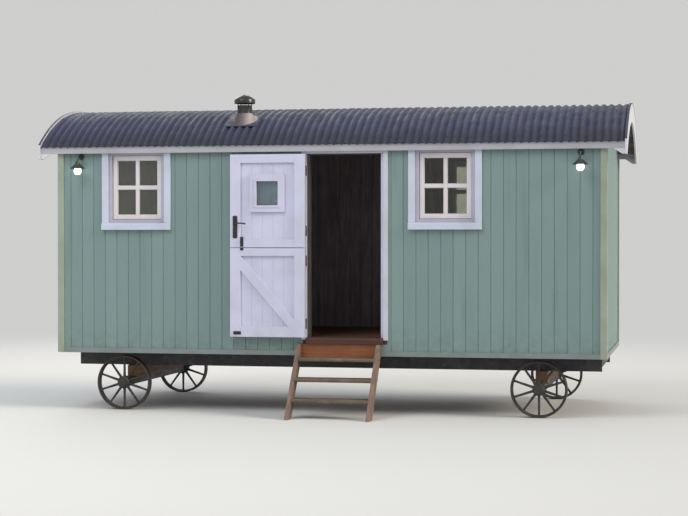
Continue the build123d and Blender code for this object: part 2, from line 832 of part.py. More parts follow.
with BuildPart() as step_treads:
    for number in range(1, tread_count + 1):
        z = number * step_rise
        tread_front = rake_reach(z) + tread_nosing
        tread_back = max(tread_front - tread_depth, seat_gap)
        with BuildSketch(Plane.YZ.offset(steps_centre - steps_inner_width / 2)) as tread:
            with Locations((front_y - tread_front, z - tread_thickness)):
                Rectangle(tread_front - tread_back, tread_thickness, align=corner_low)
            fillet(tread.vertices().group_by(Axis.X)[0], tread_edge_radius)
        extrude(amount=steps_inner_width)
save(step_treads.part, "step_treads")

with BuildPart() as step_riser:
    with BuildSketch(front_face.offset(seat_gap)):
        with Locations((steps_centre, tread_count * step_rise)):
            Rectangle(steps_inner_width, stringer_top - tread_count * step_rise, align=middle_low)
    extrude(amount=riser_thickness)
save(step_riser.part, "step_riser")

# Running gear: rails and cross members under the joists, bolsters, axles and wheels
rail_bottom = wall_bottom - rail_height
with BuildPart() as chassis_rails:
    with BuildSketch(Plane.YZ.offset(rail_inset - half_length)):
        for side in (-1, 1):
            web_y = hut_y + side * rail_y
            inwards = Align.MIN if side < 0 else Align.MAX
            with Locations((web_y, rail_bottom)):
                Rectangle(rail_web, rail_height, align=(inwards, Align.MIN))
                Rectangle(rail_flange, rail_web, align=(inwards, Align.MIN))
            with Locations((web_y, wall_bottom)):
                Rectangle(rail_flange, rail_web, align=(inwards, Align.MAX))
    extrude(amount=body_length - 2 * rail_inset)
save(chassis_rails.part, "chassis_rails")

crossmember_spacing = (body_length - 2 * rail_inset - crossmember_width) / (crossmember_count - 1)
with BuildPart() as chassis_crossmembers:
    with BuildSketch(Plane.XY.offset(wall_bottom - rail_web - crossmember_height)):
        with Locations((0, hut_y)):
            with GridLocations(crossmember_spacing, 0, crossmember_count, 1):
                Rectangle(crossmember_width, 2 * (rail_y - rail_web))
    extrude(amount=crossmember_height)
save(chassis_crossmembers.part, "chassis_crossmembers")

axle_top = wheel_radius + axle_section / 2
with BuildPart() as axle_bolsters:
    with BuildSketch(Plane.XY.offset(axle_top)):
        with Locations((-axle_x, hut_y), (axle_x, hut_y)):
            Rectangle(bolster_width, 2 * (rail_y + bolster_overlap))
    extrude(amount=rail_bottom - axle_top)
save(axle_bolsters.part, "axle_bolsters")

hub_inner_y = wheel_y - hub_length / 2
hub_outer_y = wheel_y + hub_length / 2
stub_end = hub_outer_y + hub_end_gap + collar_length
with BuildPart() as axles:
    for x in (-axle_x, axle_x):
        axle_middle = Plane(origin=(x, hut_y, wheel_radius), x_dir=(1, 0, 0), z_dir=(0, 1, 0))
        with BuildSketch(axle_middle):
            Rectangle(axle_section, axle_section)
        extrude(amount=hub_inner_y - hub_end_gap, both=True)
        with BuildSketch(axle_middle):
            Circle(stub_radius)
        extrude(amount=stub_end, both=True)
        with BuildSketch(axle_middle.offset(-stub_end), axle_middle.offset(stub_end - collar_length)):
            Circle(collar_radius)
        extrude(amount=collar_length)
save(axles.part, "axles")

rim_inner = wheel_radius - rim_thickness
rib_inner = rim_inner - rim_rib_depth
rim_half = [(rib_inner, rim_rib_tip / 2), (rim_inner, rim_rib_root / 2), (rim_inner, wheel_width / 2),
            (wheel_radius, wheel_width / 2)]
hub_half = [(0, hub_length / 2), (hub_nose_radius - hub_edge, hub_length / 2),
            (hub_nose_radius, hub_length / 2 - hub_edge),
            (hub_nose_radius, hub_body_length / 2 + hub_shoulder), (hub_radius, hub_body_length / 2)]
spoke_sections = ((hub_radius - spoke_sink, spoke_root), (rib_inner - spoke_flare, spoke_waist),
                  (wheel_radius - rim_thickness / 2, spoke_tip))


def both_halves(half):
    """Points of a turned outline, from those of its half on one side of the middle plane."""
    return half + [(radius, -along) for radius, along in reversed(half)]


for name, x, side in (("wheel_front_left", -axle_x, -1), ("wheel_front_right", axle_x, -1),
                      ("wheel_back_left", -axle_x, 1), ("wheel_back_right", axle_x, 1)):
    middle = (x, hut_y + side * wheel_y, wheel_radius)
    wheel_plane = Plane(origin=middle, x_dir=(1, 0, 0), z_dir=(0, side, 0))
    section_plane = Plane(origin=middle, x_dir=(1, 0, 0), z_dir=(0, 0, 1))
    with BuildPart() as wheel:
        for half in (rim_half, hub_half):
            with BuildSketch(section_plane):
                with BuildLine():
                    Polyline(*both_halves(half), close=True)
                make_face()
            revolve(axis=Axis(middle, (0, 1, 0)))
        for number in range(spoke_count):
            turn = Rotation(0, 360 * number / spoke_count, 0)
            spoke_plane = Plane(origin=middle, x_dir=(0, 1, 0), z_dir=(turn * Pos(0, 0, 1)).position)
            for distance, section in spoke_sections:
                with BuildSketch(spoke_plane.offset(distance)):
                    SlotOverall(*section)
            loft(ruled=True)
        with BuildSketch(wheel_plane):
            Circle(stub_radius + stub_play)
        extrude(amount=hub_length, both=True, mode=Mode.SUBTRACT)
    save(wheel.part, name)

# Flue: pipe through the roof, flashing that follows the roof's curve, and a rain cowl
flashing_roof_z = arc_height(roof_radius, flue_from_centre)
collar_top = flashing_roof_z + collar_rise
flue_top = collar_top + pipe_above_collar
with BuildPart() as flue_pipe:
    with BuildSketch(Plane.XY.offset(flue_foot)):
        with Locations((flue_x, flue_y)):
            Circle(flue_radius)
            Circle(flue_radius - flue_wall, mode=Mode.SUBTRACT)
    extrude(amount=flue_top - flue_foot)
save(flue_pipe.part, "flue_pipe")

with BuildPart() as flue_flashing:
    with BuildSketch(Plane.YZ.offset(flue_x - flashing_length / 2)):
        with Locations((hut_y, roof_centre_z)):
            Circle(roof_radius + seat_gap + flashing_thickness)
            Circle(roof_radius + seat_gap, mode=Mode.SUBTRACT)
        with Locations((flue_y, eave_height)):
            Rectangle(flashing_width, crown_height, align=middle_low, mode=Mode.INTERSECT)
    extrude(amount=flashing_length)
    with BuildSketch(Plane.XY.offset(flashing_roof_z - collar_foot_drop)):
        with Locations((flue_x, flue_y)):
            Circle(flue_radius + collar_flare)
    with BuildSketch(Plane.XY.offset(collar_top)):
        with Locations((flue_x, flue_y)):
            Circle(flue_radius + flashing_thickness)
    loft()
    with BuildSketch(Plane.YZ.offset(flue_x - flashing_length / 2)):
        with Locations((hut_y, roof_centre_z)):
            Circle(roof_radius + seat_gap)
    extrude(amount=flashing_length, mode=Mode.SUBTRACT)
    with BuildSketch(Plane.XY.offset(flue_foot)):
        with Locations((flue_x, flue_y)):
            Circle(flue_radius + flue_play)
    extrude(amount=collar_top - flue_foot, mode=Mode.SUBTRACT)
save(flue_flashing.part, "flue_flashing")

cowl_inner = cowl_radius - cowl_wall
cowl_crown = cowl_skirt + cowl_rise
with BuildPart() as flue_cowl:
    with BuildSketch(Plane(origin=(flue_x, flue_y, flue_top + cowl_gap), x_dir=(1, 0, 0), z_dir=(0, -1, 0))):
        with BuildLine():
            Polyline((0, cowl_crown), (cowl_radius, cowl_skirt), (cowl_radius, 0), (cowl_inner, 0),
                     (cowl_inner, cowl_skirt - cowl_wall), (0, cowl_crown - cowl_wall), close=True)
        make_face()
    revolve(axis=Axis((flue_x, flue_y, 0), (0, 0, 1)))
    with BuildSketch(Plane.XY.offset(flue_top)):
        with Locations((flue_x, flue_y)):
            with PolarLocations(flue_radius - flue_wall / 2, cowl_legs):
                Circle(cowl_leg_radius)
    extrude(until=Until.NEXT)
save(flue_cowl.part, "flue_cowl")
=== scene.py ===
"""Looks of the shepherd's hut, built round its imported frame. Sizes are millimetres until a mesh is made."""

import math

import bmesh
import bpy
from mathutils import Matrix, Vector


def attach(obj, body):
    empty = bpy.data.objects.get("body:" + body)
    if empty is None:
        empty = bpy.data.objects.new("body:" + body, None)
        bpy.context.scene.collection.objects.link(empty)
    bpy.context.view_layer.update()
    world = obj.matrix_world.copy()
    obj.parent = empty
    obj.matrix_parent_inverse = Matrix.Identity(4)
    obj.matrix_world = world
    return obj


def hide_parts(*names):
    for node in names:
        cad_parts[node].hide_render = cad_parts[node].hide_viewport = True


MM = 0.001
UPWARDS = (0, 0, 1)

# Sizes that the part's source has too
half_length, half_width, wall = 2745, 1143, 90
wall_bottom, floor_top = 580, 756
crown, eave, eave_overhang, end_overhang = 3088, 2672, 60, 180
sheet_depth, deck_thickness, roof_pitch, seat = 18, 40, 76.2, 0.3
hut_y = 267
front_y, back_y = hut_y - half_width, hut_y + half_width
roof_half_span = half_width + eave_overhang
roof_half_length = half_length + end_overhang
roof_radius = (roof_half_span**2 + (crown - eave) ** 2) / (2 * (crown - eave))
roof_centre = crown - roof_radius
deck_radius = roof_radius - sheet_depth
ceiling_radius = deck_radius - deck_thickness
wall_top_radius = ceiling_radius - seat

window_xs = (-1926, 1202)
window_width, window_bottom, window_height = 586, 1885, 715
liner, sash_back, sash_thick, sash_member = 36, 22, 40, 46
trim_width, trim_thick, sill_reach = 68, 20, 42
corner_thick, corner_width, base_height = 14, 65, 48

pin_x, leaf_width, leaf_top, leaf_split = -171, 755, 2560, 1640
leaf_bottom = floor_top + 5
hinge_x = pin_x - 3
latch_x = hinge_x - leaf_width
jamb_left, jamb_right, head_z = pin_x - 2, pin_x + 3 + leaf_width + 8, leaf_top + 5
jamb, stop_lap, head_stop, stop_depth, architrave = 38, 30, 12, 29, 46
rough_left, rough_right, rough_top = jamb_left - jamb, jamb_right + jamb, head_z + jamb
rough_bottom, architrave_foot = floor_top - 60, floor_top - 20
leaf_back, leaf_mid, leaf_front, stile = 46, 68, 90, 105
lower_rail, middle_rail, upper_rail = 106, 78, 84
light_x, light_z, light_w, light_h, light_bead = (hinge_x + latch_x) / 2, 2176, 218, 238, 65
upper_hinge_heights, lower_hinge_heights = (2397, 1806), (1511, 894)
lever_x, lever_z, bolt_x = latch_x + 52, leaf_split + 205, latch_x + 120

lamp_x, lamp_z, lamp_reach, shade_top = 2510, 2556, 108, 2500
step_reach, steps_centre, steps_inner, step_board, step_rise = 600, 155, 754, 38, 189
wheel_x, wheel_offset, wheel_radius, rail_offset = 2100, 1010, 275, 700

# Choices of this script: clear space behind a fitting, pitch of the boards and cut of their grooves
clear = 0.2
board_pitch, end_boards, board_groove = 122, 17, 6


def arc_height(radius, from_centre):
    """Height of a roof layer of this radius at this distance from the hut's centre line."""
    return roof_centre + math.sqrt(radius**2 - from_centre**2)


def on_arc(x, radius, angle):
    """Point of a roof layer of this radius, at this angle from the crown."""
    return (x, hut_y + radius * math.sin(angle), roof_centre + radius * math.cos(angle))


def even_steps(reach, count):
    """Even steps from minus a reach to plus it."""
    return [reach * (2 * j / count - 1) for j in range(count + 1)]


flue_x, flue_from_centre, flue_radius = -901, 770, 75
flue_y = hut_y - flue_from_centre
flue_foot = arc_height(ceiling_radius, flue_from_centre + flue_radius) - 25
collar_top = arc_height(roof_radius, flue_from_centre) + 66
flue_top = collar_top + 82


# Places: u runs along a wall, out stands off its face, z is up
def front(u, out, z):
    return (u, front_y - out, z)


def back(u, out, z):
    return (u, back_y + out, z)


def left(u, out, z):
    return (-half_length - out, hut_y + u, z)


def right(u, out, z):
    return (half_length + out, hut_y + u, z)


def facing(place):
    """The same place, for an outline of u and z that is run outwards."""
    return lambda u, z, out: place(u, out, z)


def endways(place):
    """The same place, for an outline of out and z that is run along the wall."""
    return lambda out, z, u: place(u, out, z)


class Shape:
    """Vertices and faces of one piece, with a finish number for each face."""

    def __init__(self):
        self.verts, self.faces, self.finishes = [], [], []

    def add(self, verts, faces, finish=0):
        start = len(self.verts)
        self.verts += verts
        self.faces += [tuple(start + i for i in face) for face in faces]
        self.finishes += [finish] * len(faces)


def loft(shape, rings, finish=0):
    """Solid through two or more rings that have the same number of points."""
    n, last = len(rings[0]), len(rings) - 1
    faces = [(j * n + i, j * n + (i + 1) % n, (j + 1) * n + (i + 1) % n, (j + 1) * n + i)
             for j in range(last) for i in range(n)]
    faces += [tuple(range(n)), tuple(range(last * n, last * n + n))]
    shape.add([point for ring in rings for point in ring], faces, finish)


def extrude(shape, outline, stations, point, finish=0):
    """Outline of (a, b) carried through stations: point(a, b, station) says where it goes."""
    loft(shape, [[point(a, b, station) for a, b in outline] for station in stations], finish)


def block(shape, place, u, out, z, finish=0):
    """Box from ranges along, outwards and up."""
    extrude(shape, [(u[0], out[0]), (u[1], out[0]), (u[1], out[1]), (u[0], out[1])], z, place, finish)


def mitred(shape, place, u, z, section):
    """Four mitred bars round a rectangle, with a section of (distance in from its edge, out)."""
    corners = [(u[0], z[0], 1, 1), (u[1], z[0], -1, 1), (u[1], z[1], -1, -1), (u[0], z[1], 1, -1)]
    ends = [[place(a + in_u * inset, out, b + in_z * inset) for inset, out in section]
            for a, b, in_u, in_z in corners]
    for first, second in zip(ends, ends[1:] + ends[:1]):
        loft(shape, [first, second])


def ring(shape, place, u, z, width, out):
    """Four mitred square bars of this width within a rectangle."""
    mitred(shape, place, u, z, [(0, out[0]), (width, out[0]), (width, out[1]), (0, out[1])])


def bead(shape, u, z, width, out):
    """Four mitred bars of this width round a rectangle of the front wall."""
    ring(shape, front, (u[0] - width, u[1] + width), (z[0] - width, z[1] + width), width, out)


def axes_of(direction):
    """Two directions across a given one."""
    along = Vector(direction).normalized()
    across = along.orthogonal().normalized()
    return across, along.cross(across)


def circle(sides):
    """Cosine and sine of even turns."""
    turns = [2 * math.pi * i / sides for i in range(sides)]
    return [(math.cos(turn), math.sin(turn)) for turn in turns]


def lathe(shape, profile, centre, direction, sides, loop=False):
    """Turned solid: profile points are (radius, distance along the direction)."""
    across, up = axes_of(direction)
    along, middle = Vector(direction).normalized(), Vector(centre)
    verts, rows = [], []
    for radius, distance in profile:
        turns = circle(sides) if radius else [(1, 0)]
        rows.append([len(verts) + i % len(turns) for i in range(sides)])
        verts += [tuple(middle + along * distance + (across * c + up * s) * radius) for c, s in turns]
    faces = [] if loop else [tuple(dict.fromkeys(row)) for row in (rows[0], rows[-1])]
    for low, high in zip(rows, rows[1:] + rows[:1] if loop else rows[1:]):
        faces += [tuple(dict.fromkeys((low[i - 1], low[i], high[i], high[i - 1]))) for i in range(sides)]
    shape.add(verts, [face for face in faces if len(face) > 2])


def turned(shape, place, spot, profile, sides):
    """Turned fitting that stands on a face, at a spot of u, out and z."""
    u, out, z = spot
    base = Vector(place(u, out, z))
    lathe(shape, profile, base, Vector(place(u, out + 1, z)) - base, sides)


def screw(shape, place, u, out, z, radius=4):
    """Domed screw head, standing on a face."""
    rise = radius * 0.45
    profile = [(radius, -0.5), (radius, rise * 0.3), (radius * 0.72, rise * 0.85), (0, rise)]
    turned(shape, place, (u, out, z), profile, 12)


def tube(shape, path, radius, sides):
    """Round bar along a path of points; radius may be one for each point."""
    points = [Vector(p) for p in path]
    radii = radius if isinstance(radius, list) else [radius] * len(points)
    across, up = axes_of(points[1] - points[0])
    rings = []
    for before, point, after, reach in zip(points[:1] + points, points, points[1:] + points[-1:], radii):
        ahead = (after - before).normalized()
        across = (across - ahead * across.dot(ahead)).normalized()
        up = ahead.cross(across)
        rings.append([tuple(point + (across * c + up * s) * reach) for c, s in circle(sides)])
    loft(shape, rings)


def bent(points, radius, steps):
    """Path through the points with its corners rounded."""
    path = [Vector(points[0])]
    for before, corner, after in zip(points, points[1:], points[2:]):
        a, b, c = Vector(before), Vector(corner), Vector(after)
        start, end = b + (a - b).normalized() * radius, b + (c - b).normalized() * radius
        for i in range(steps + 1):
            t = i / steps
            path.append(start * (1 - t) ** 2 + b * 2 * t * (1 - t) + end * t**2)
    return path + [Vector(points[-1])]


def mesh_of(name, shape):
    """The shape as a mesh in metres."""
    mesh = bpy.data.meshes.new(name)
    mesh.from_pydata([(x * MM, y * MM, z * MM) for x, y, z in shape.verts], [], shape.faces)
    return mesh


def linked(name, data):
    """New object in the scene for a mesh, a lamp or a camera."""
    made = bpy.data.objects.new(name, data)
    bpy.context.scene.collection.objects.link(made)
    return made


def make(name, shape, materials, replaced=None, bevel=0.0, body="hut", angle=35):
    """Turns a shape into an object that rides on a body of the frame."""
    mesh = mesh_of(name, shape)
    for material in materials:
        mesh.materials.append(material)
    mesh.polygons.foreach_set("material_index", shape.finishes)
    work = bmesh.new()
    work.from_mesh(mesh)
    bmesh.ops.recalc_face_normals(work, faces=work.faces)
    work.to_mesh(mesh)
    work.free()
    mesh.polygons.foreach_set("use_smooth", [True] * len(mesh.polygons))
    mesh.set_sharp_from_angle(angle=math.radians(angle))
    piece = linked(name, mesh)
    if bevel:
        round_edges(piece, bevel)
    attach(piece, body)
    if replaced:
        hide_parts(replaced)
    return piece


def round_edges(piece, width, weld=False):
    """Small rounded edges, with the flat faces kept flat in the shading."""
    if weld:
        piece.modifiers.new("Weld", "WELD").merge_threshold = 0.00001
    bevel = piece.modifiers.new("Edges", "BEVEL")
    bevel.width = width * MM
    bevel.segments = 2
    bevel.limit_method = "ANGLE"
    bevel.angle_limit = math.radians(38)
    bevel.harden_normals = True


def bore(piece, drill):
    """Cuts a drill shape out of a piece, and leaves no cutter behind."""
    cutter = linked("drill", mesh_of("drill", drill))
    cut = piece.modifiers.new("Bore", "BOOLEAN")
    cut.operation, cut.solver, cut.object = "DIFFERENCE", "EXACT", cutter
    bpy.context.view_layer.update()
    evaluated = piece.evaluated_get(bpy.context.evaluated_depsgraph_get())
    result = bpy.data.meshes.new_from_object(evaluated)
    piece.modifiers.remove(cut)
    piece.data = result
    bpy.data.objects.remove(cutter)


# Materials
class Nodes:
    """A node tree, with short calls for the nodes that recur."""

    def __init__(self, tree):
        self.tree = tree

    def feed(self, socket, value):
        if isinstance(value, bpy.types.NodeSocket):
            self.tree.links.new(value, socket)
        elif isinstance(value, tuple) and len(value) == 3 and len(socket.default_value) == 4:
            socket.default_value = (*value, 1)
        else:
            socket.default_value = value

    def node(self, kind, inputs, **settings):
        """Makes a node, sets and feeds it, and gives its outputs."""
        made = self.tree.nodes.new("ShaderNode" + kind)
        for key, value in settings.items():
            setattr(made, key, value)
        for socket, value in inputs.items():
            self.feed(made.inputs[socket], value)
        return made.outputs

    def math(self, operation, a, b=0.0):
        return self.node("Math", {0: a, 1: b}, operation=operation)[0]

    def times(self, a, b):
        return self.math("MULTIPLY", a, b)

    def between(self, value, low, high, to_low=0.0, to_high=1.0):
        """Smooth step of a value, from to_low at low to to_high at high."""
        inputs = dict(enumerate((value, low, high, to_low, to_high)))
        return self.node("MapRange", inputs, interpolation_type="SMOOTHSTEP")[0]

    def mix(self, share, a, b):
        return self.node("MixShader", {0: share, 1: a, 2: b})[0]


class Paint(Nodes):
    """One material, with its shader and the object's own coordinates in metres."""

    def __init__(self, name, roughness, **sockets):
        self.material = bpy.data.materials.new(name)
        self.material.use_nodes = True
        super().__init__(self.material.node_tree)
        self.shader = self.tree.nodes["Principled BSDF"]
        self.put("Roughness", roughness)
        for socket, value in sockets.items():
            self.put(socket.replace("_", " "), value)
        self.place = self.node("TexCoord", {})["Object"]

    def put(self, socket, value):
        self.feed(self.shader.inputs[socket], value)

    def axis(self, letter):
        return self.node("SeparateXYZ", {0: self.place})[letter]

    def noise(self, scale, detail, stretch=(1, 1, 1), rough=0.55):
        mapped = self.node("Mapping", {"Vector": self.place, "Scale": stretch})["Vector"]
        inputs = {"Vector": mapped, "Scale": scale, "Detail": detail, "Roughness": rough}
        return self.node("TexNoise", inputs)["Fac"]

    def patches(self, scale, detail, low, high, to_low=0.0, to_high=1.0, stretch=(1, 1, 1)):
        """Smooth step of a noise."""
        return self.between(self.noise(scale, detail, stretch), low, high, to_low, to_high)

    def wander(self, scale, detail, low, high, stretch=(1, 1, 1)):
        """Value that drifts from low to high and back."""
        return self.patches(scale, detail, 0.3, 0.7, low, high, stretch)

    def strip(self, letter, width, start=0.0):
        """Number of the board or sheet of this width, counted across one axis."""
        return self.math("FLOOR", self.math("DIVIDE", self.math("SUBTRACT", self.axis(letter), start), width))

    def each(self, strip):
        """A chance value for each strip."""
        return self.node("TexWhiteNoise", {"W": strip}, noise_dimensions="1D")["Value"]

    def blend(self, share, a, b):
        return self.node("Mix", {0: share, 6: a, 7: b}, data_type="RGBA")[2]

    def stain(self, base, mask, share, colour):
        """Colour laid over the base by a share of the mask."""
        return self.blend(self.times(mask, share), base, colour)

    def coat(self, colour, roughness, height, distance, strength):
        """Sets the colour, the roughness and the bump, and gives the finished material."""
        self.put("Base Color", colour)
        self.put("Roughness", roughness)
        bump = self.node("Bump", {"Strength": strength, "Distance": distance, "Height": height})
        self.put("Normal", bump["Normal"])
        return self.material


def srgb(r, g, b):
    """Linear colour of an sRGB one given from 0 to 255."""
    return tuple(((c / 255 + 0.055) / 1.055) ** 2.4 if c > 10 else c / 255 / 12.92 for c in (r, g, b))


# Noise drawn out along an axis: brush marks in paint, and the finer grain of timber
BRUSH_X, BRUSH_Y, BRUSH_Z = (0.35, 6, 6), (6, 0.35, 6), (6, 6, 0.35)
GRAIN_X, GRAIN_Y, GRAIN_Z = (0.06, 1, 1), (1, 0.06, 1), (1, 1, 0.06)


def wall_paint():
    """Sage green paint on boards: each board a little different, with rain streaks and splash low down."""
    p = Paint("wall_paint_sage", 0.6)
    boards = {0: p.strip("X", 0.12212, -2.748), 1: p.strip("Y", 0.12388, -0.786)}
    board = p.node("CombineXYZ", boards)[0]
    each = p.node("TexWhiteNoise", {"Vector": board}, noise_dimensions="2D")["Value"]
    green, pale, dark = srgb(112, 135, 134), srgb(123, 145, 143), srgb(97, 118, 118)
    base = p.blend(p.math("ADD", p.times(each, 0.5), p.times(p.noise(2.2, 3), 0.5)), green, pale)
    base = p.stain(base, p.patches(9, 5, 0.5, 0.78, stretch=(1, 1, 0.09)), 0.4, dark)
    splash = p.times(p.between(p.axis("Z"), 0.95, 0.58), p.patches(14, 6, 0.35, 0.7))
    base = p.stain(base, splash, 0.35, srgb(98, 101, 88))
    return p.coat(base, p.wander(30, 3, 0.5, 0.68), p.noise(26, 6, BRUSH_Z, 0.6), 0.0005, 0.5)


def white_paint(name, r, g, b, brush, low=0.0, high=0.0):
    """Paint on planed timber, with brush marks along one way and grime between two heights."""
    p = Paint(name, 0.45)
    base = p.blend(p.patches(3.5, 5, 0.35, 0.75), srgb(r, g, b), srgb(r - 11, g - 11, b - 15))
    base = p.stain(base, p.patches(90, 3, 0.68, 0.8), 0.2, srgb(150, 145, 136))
    if high:
        grime = p.times(p.between(p.axis("Z"), high, low), p.patches(11, 6, 0.35, 0.7))
        base = p.stain(base, grime, 0.28, srgb(126, 121, 108))
    return p.coat(base, p.wander(22, 3, 0.36, 0.55), p.noise(28, 6, brush, 0.6), 0.0004, 0.45)


def timber(name, light, dark, grain, worn=None, pitch=None):
    """Stained or bare timber: rings drawn out along the grain, fine pores and dark patches."""
    p = Paint(name, 0.6)
    light, dark, scale = srgb(*light), srgb(*dark), 16
    bands = p.math("PINGPONG", p.times(p.noise(scale, 4, grain, 0.6), 9.0), 1.0)
    pores = p.patches(scale * 9, 3, 0.5, 0.72, stretch=grain)
    base = p.blend(p.math("ADD", p.times(bands, 0.6), p.times(pores, 0.4)), light, dark)
    if pitch:
        base = p.stain(base, p.each(p.strip("Y", pitch)), 0.35, dark)
    base = p.stain(base, p.patches(2.5, 4, 0.35, 0.8), 0.35, tuple(c * 0.55 for c in dark))
    if worn:
        centre, half, colour = worn
        away = p.math("ABSOLUTE", p.math("SUBTRACT", p.axis("X"), centre))
        tread = p.times(p.between(away, half, half * 0.35), p.patches(13, 5, 0.38, 0.68))
        base = p.stain(base, tread, 0.5, srgb(*colour))
    relief = p.math("ADD", p.times(bands, 0.4), pores)
    return p.coat(base, p.wander(scale, 4, 0.5, 0.72, grain), relief, 0.0006, 0.4)


def roof_metal():
    """Slate blue coated steel with streaks and spots; painted highlight on the crests, painted shade in the
    valleys and near the eaves, painted sky reflection along the crown.
    """
    p = Paint("roof_metal_slate", 0.42)
    sheets = p.each(p.strip("X", 8 * roof_pitch * MM))
    wave = p.math("COSINE", p.times(p.axis("X"), 2 * math.pi / (roof_pitch * MM)))
    base = p.blend(p.times(sheets, 0.6), srgb(33, 38, 69), srgb(41, 46, 84))
    base = p.stain(base, p.patches(12, 5, 0.48, 0.75, stretch=(1, 0.08, 0.08)), 0.3, srgb(72, 75, 98))
    # Paler crests: painted highlight along the corrugations.
    base = p.blend(p.between(wave, 0.3, 1.0, 0.0, 0.4), base, srgb(83, 88, 115))
    # Darker valleys: painted shade between the crests.
    base = p.blend(p.between(wave, 0.1, -0.9, 0.0, 0.5), base, srgb(25, 26, 38))
    # Darker towards the eaves: painted shade.
    base = p.blend(p.between(p.axis("Z"), 2.86, 2.7, 0.0, 0.6), base, srgb(28, 29, 42))
    # Paler along the crown: painted sky reflection.
    base = p.blend(p.between(p.axis("Z"), 2.94, 3.06, 0.0, 0.42), base, srgb(78, 82, 88))
    base = p.stain(base, p.patches(55, 4, 0.68, 0.76), 0.3, srgb(98, 99, 104))
    return p.coat(base, p.wander(7, 4, 0.5, 0.72), p.noise(60, 4), 0.0003, 0.3)


def dark_metal(name, r, g, b, rust=0.0, roughness=(0.4, 0.62), bump=0.0004):
    """Dark painted or cast metal with a cast grain, worn spots and some rust."""
    p = Paint(name, 0.5)
    base = p.blend(p.patches(6, 4, 0.3, 0.7), srgb(r, g, b), srgb(r + 16, g + 15, b + 14))
    base = p.stain(base, p.patches(17, 5, 0.55, 0.8), 0.3, srgb(116, 108, 96))
    if rust:
        base = p.stain(base, p.between(p.noise(9, 7, rough=0.7), 0.56, 0.72), rust, srgb(104, 56, 30))
    return p.coat(base, p.wander(20, 4, *roughness), p.noise(130, 5), bump, 0.5)


def window_pane(name, glass_tint, patch_tint, clear, clear_left):
    """Glass with slight waves and a tint that varies in patches; where the glass is not clear the tint shows
    as painted light, with its own share of clearness left of the doorway.
    """
    p = Paint(name, 0.03, IOR=1.45)
    # The share that is not clear shows the tint lit like a surface: painted light.
    p.put("Transmission Weight", p.between(p.axis("X"), -1.0, -0.8, clear_left, clear))
    pane_tint = p.blend(p.patches(5, 4, 0.45, 0.8), glass_tint, patch_tint)
    return p.coat(pane_tint, p.patches(8, 5, 0.4, 0.8, 0.02, 0.12), p.noise(4, 2), 0.0006, 0.25)


def lit_glass():
    """Opal bulb, lit, with a slightly uneven glow."""
    p = Paint("lamp_glass_opal", 0.25, Emission_Strength=2.4, Base_Color=(0.9, 0.9, 0.86))
    p.put("Emission Color", p.blend(p.patches(30, 3, 0.2, 0.8), (1.0, 0.96, 0.88), (0.94, 0.98, 0.95)))
    return p.material


def flashing_metal():
    """Flashing: a skirt painted like the roof, and a bare grey cone with painted shade on its left side."""
    p = Paint("flashing_grey", 0.5)
    bare = p.blend(p.patches(8, 5, 0.3, 0.7), srgb(146, 133, 136), srgb(168, 154, 157))
    bare = p.stain(bare, p.patches(25, 5, 0.5, 0.75, stretch=(1, 0.15, 0.15)), 0.4, srgb(108, 101, 99))
    # Painted shade: the cone darkens towards its left side.
    shaded = p.between(p.axis("X"), (flue_x + 75) * MM, (flue_x - 15) * MM)
    bare = p.stain(bare, shaded, 0.85, srgb(54, 48, 50))
    painted = p.blend(p.patches(12, 5, 0.4, 0.75), srgb(48, 50, 68), srgb(74, 76, 92))
    run_x = p.math("SUBTRACT", p.axis("X"), flue_x * MM)
    run_y = p.math("SUBTRACT", p.axis("Y"), flue_y * MM)
    reach = p.math("SQRT", p.math("ADD", p.times(run_x, run_x), p.times(run_y, run_y)))
    base = p.blend(p.between(reach, 0.132, 0.137), bare, painted)
    return p.coat(base, p.wander(15, 4, 0.42, 0.65), p.noise(18, 4), 0.003, 0.35)


sage = wall_paint()
# These whites lean to lilac: a painted cool cast of skylit shade on white paint.
white_up = white_paint("trim_paint_upright", 200, 200, 224, BRUSH_Z, 0.58, 0.95)
white_across = white_paint("trim_paint_along_y", 207, 206, 216, BRUSH_Y)
# Fascia white, darker than the trims: painted shade under the roof's edge.
fascia_white_shaded = white_paint("fascia_paint_shaded", 171, 171, 179, BRUSH_X)
casing_white = white_paint("casing_paint", 193, 200, 218, BRUSH_Z)
surround_white = white_paint("door_surround_paint", 190, 195, 206, BRUSH_Z)
# Liner white, darker than the trims: painted shade in the window recesses.
liner_white_shaded = white_paint("liner_paint_shaded", 176, 172, 190, BRUSH_Z)
cream = white_paint("sash_paint_cream", 215, 209, 213, BRUSH_Z)
# Foot and corner boards: the walls' sage green made paler, as painted light.
base_sage_lit = white_paint("base_board_paint_lit", 123, 135, 137, BRUSH_X, 0.58, 0.64)
corner_sage_lit = white_paint("corner_board_paint_lit", 151, 161, 147, BRUSH_Z, 0.58, 0.64)
threshold_wood = timber("threshold_timber", (82, 47, 38), (58, 32, 26), GRAIN_X)
riser_wood = timber("riser_timber", (156, 93, 53), (113, 65, 37), GRAIN_X)
tread_wood = timber("tread_timber", (108, 92, 78), (78, 65, 55), GRAIN_X, worn=(0.155, 0.36, (126, 115, 101)))
side_wood = timber("side_board_timber", (128, 105, 92), (90, 73, 63), (1, 0.25, 0.08))
lining = timber("lining_timber", (160, 142, 148), (110, 98, 103), GRAIN_Z)
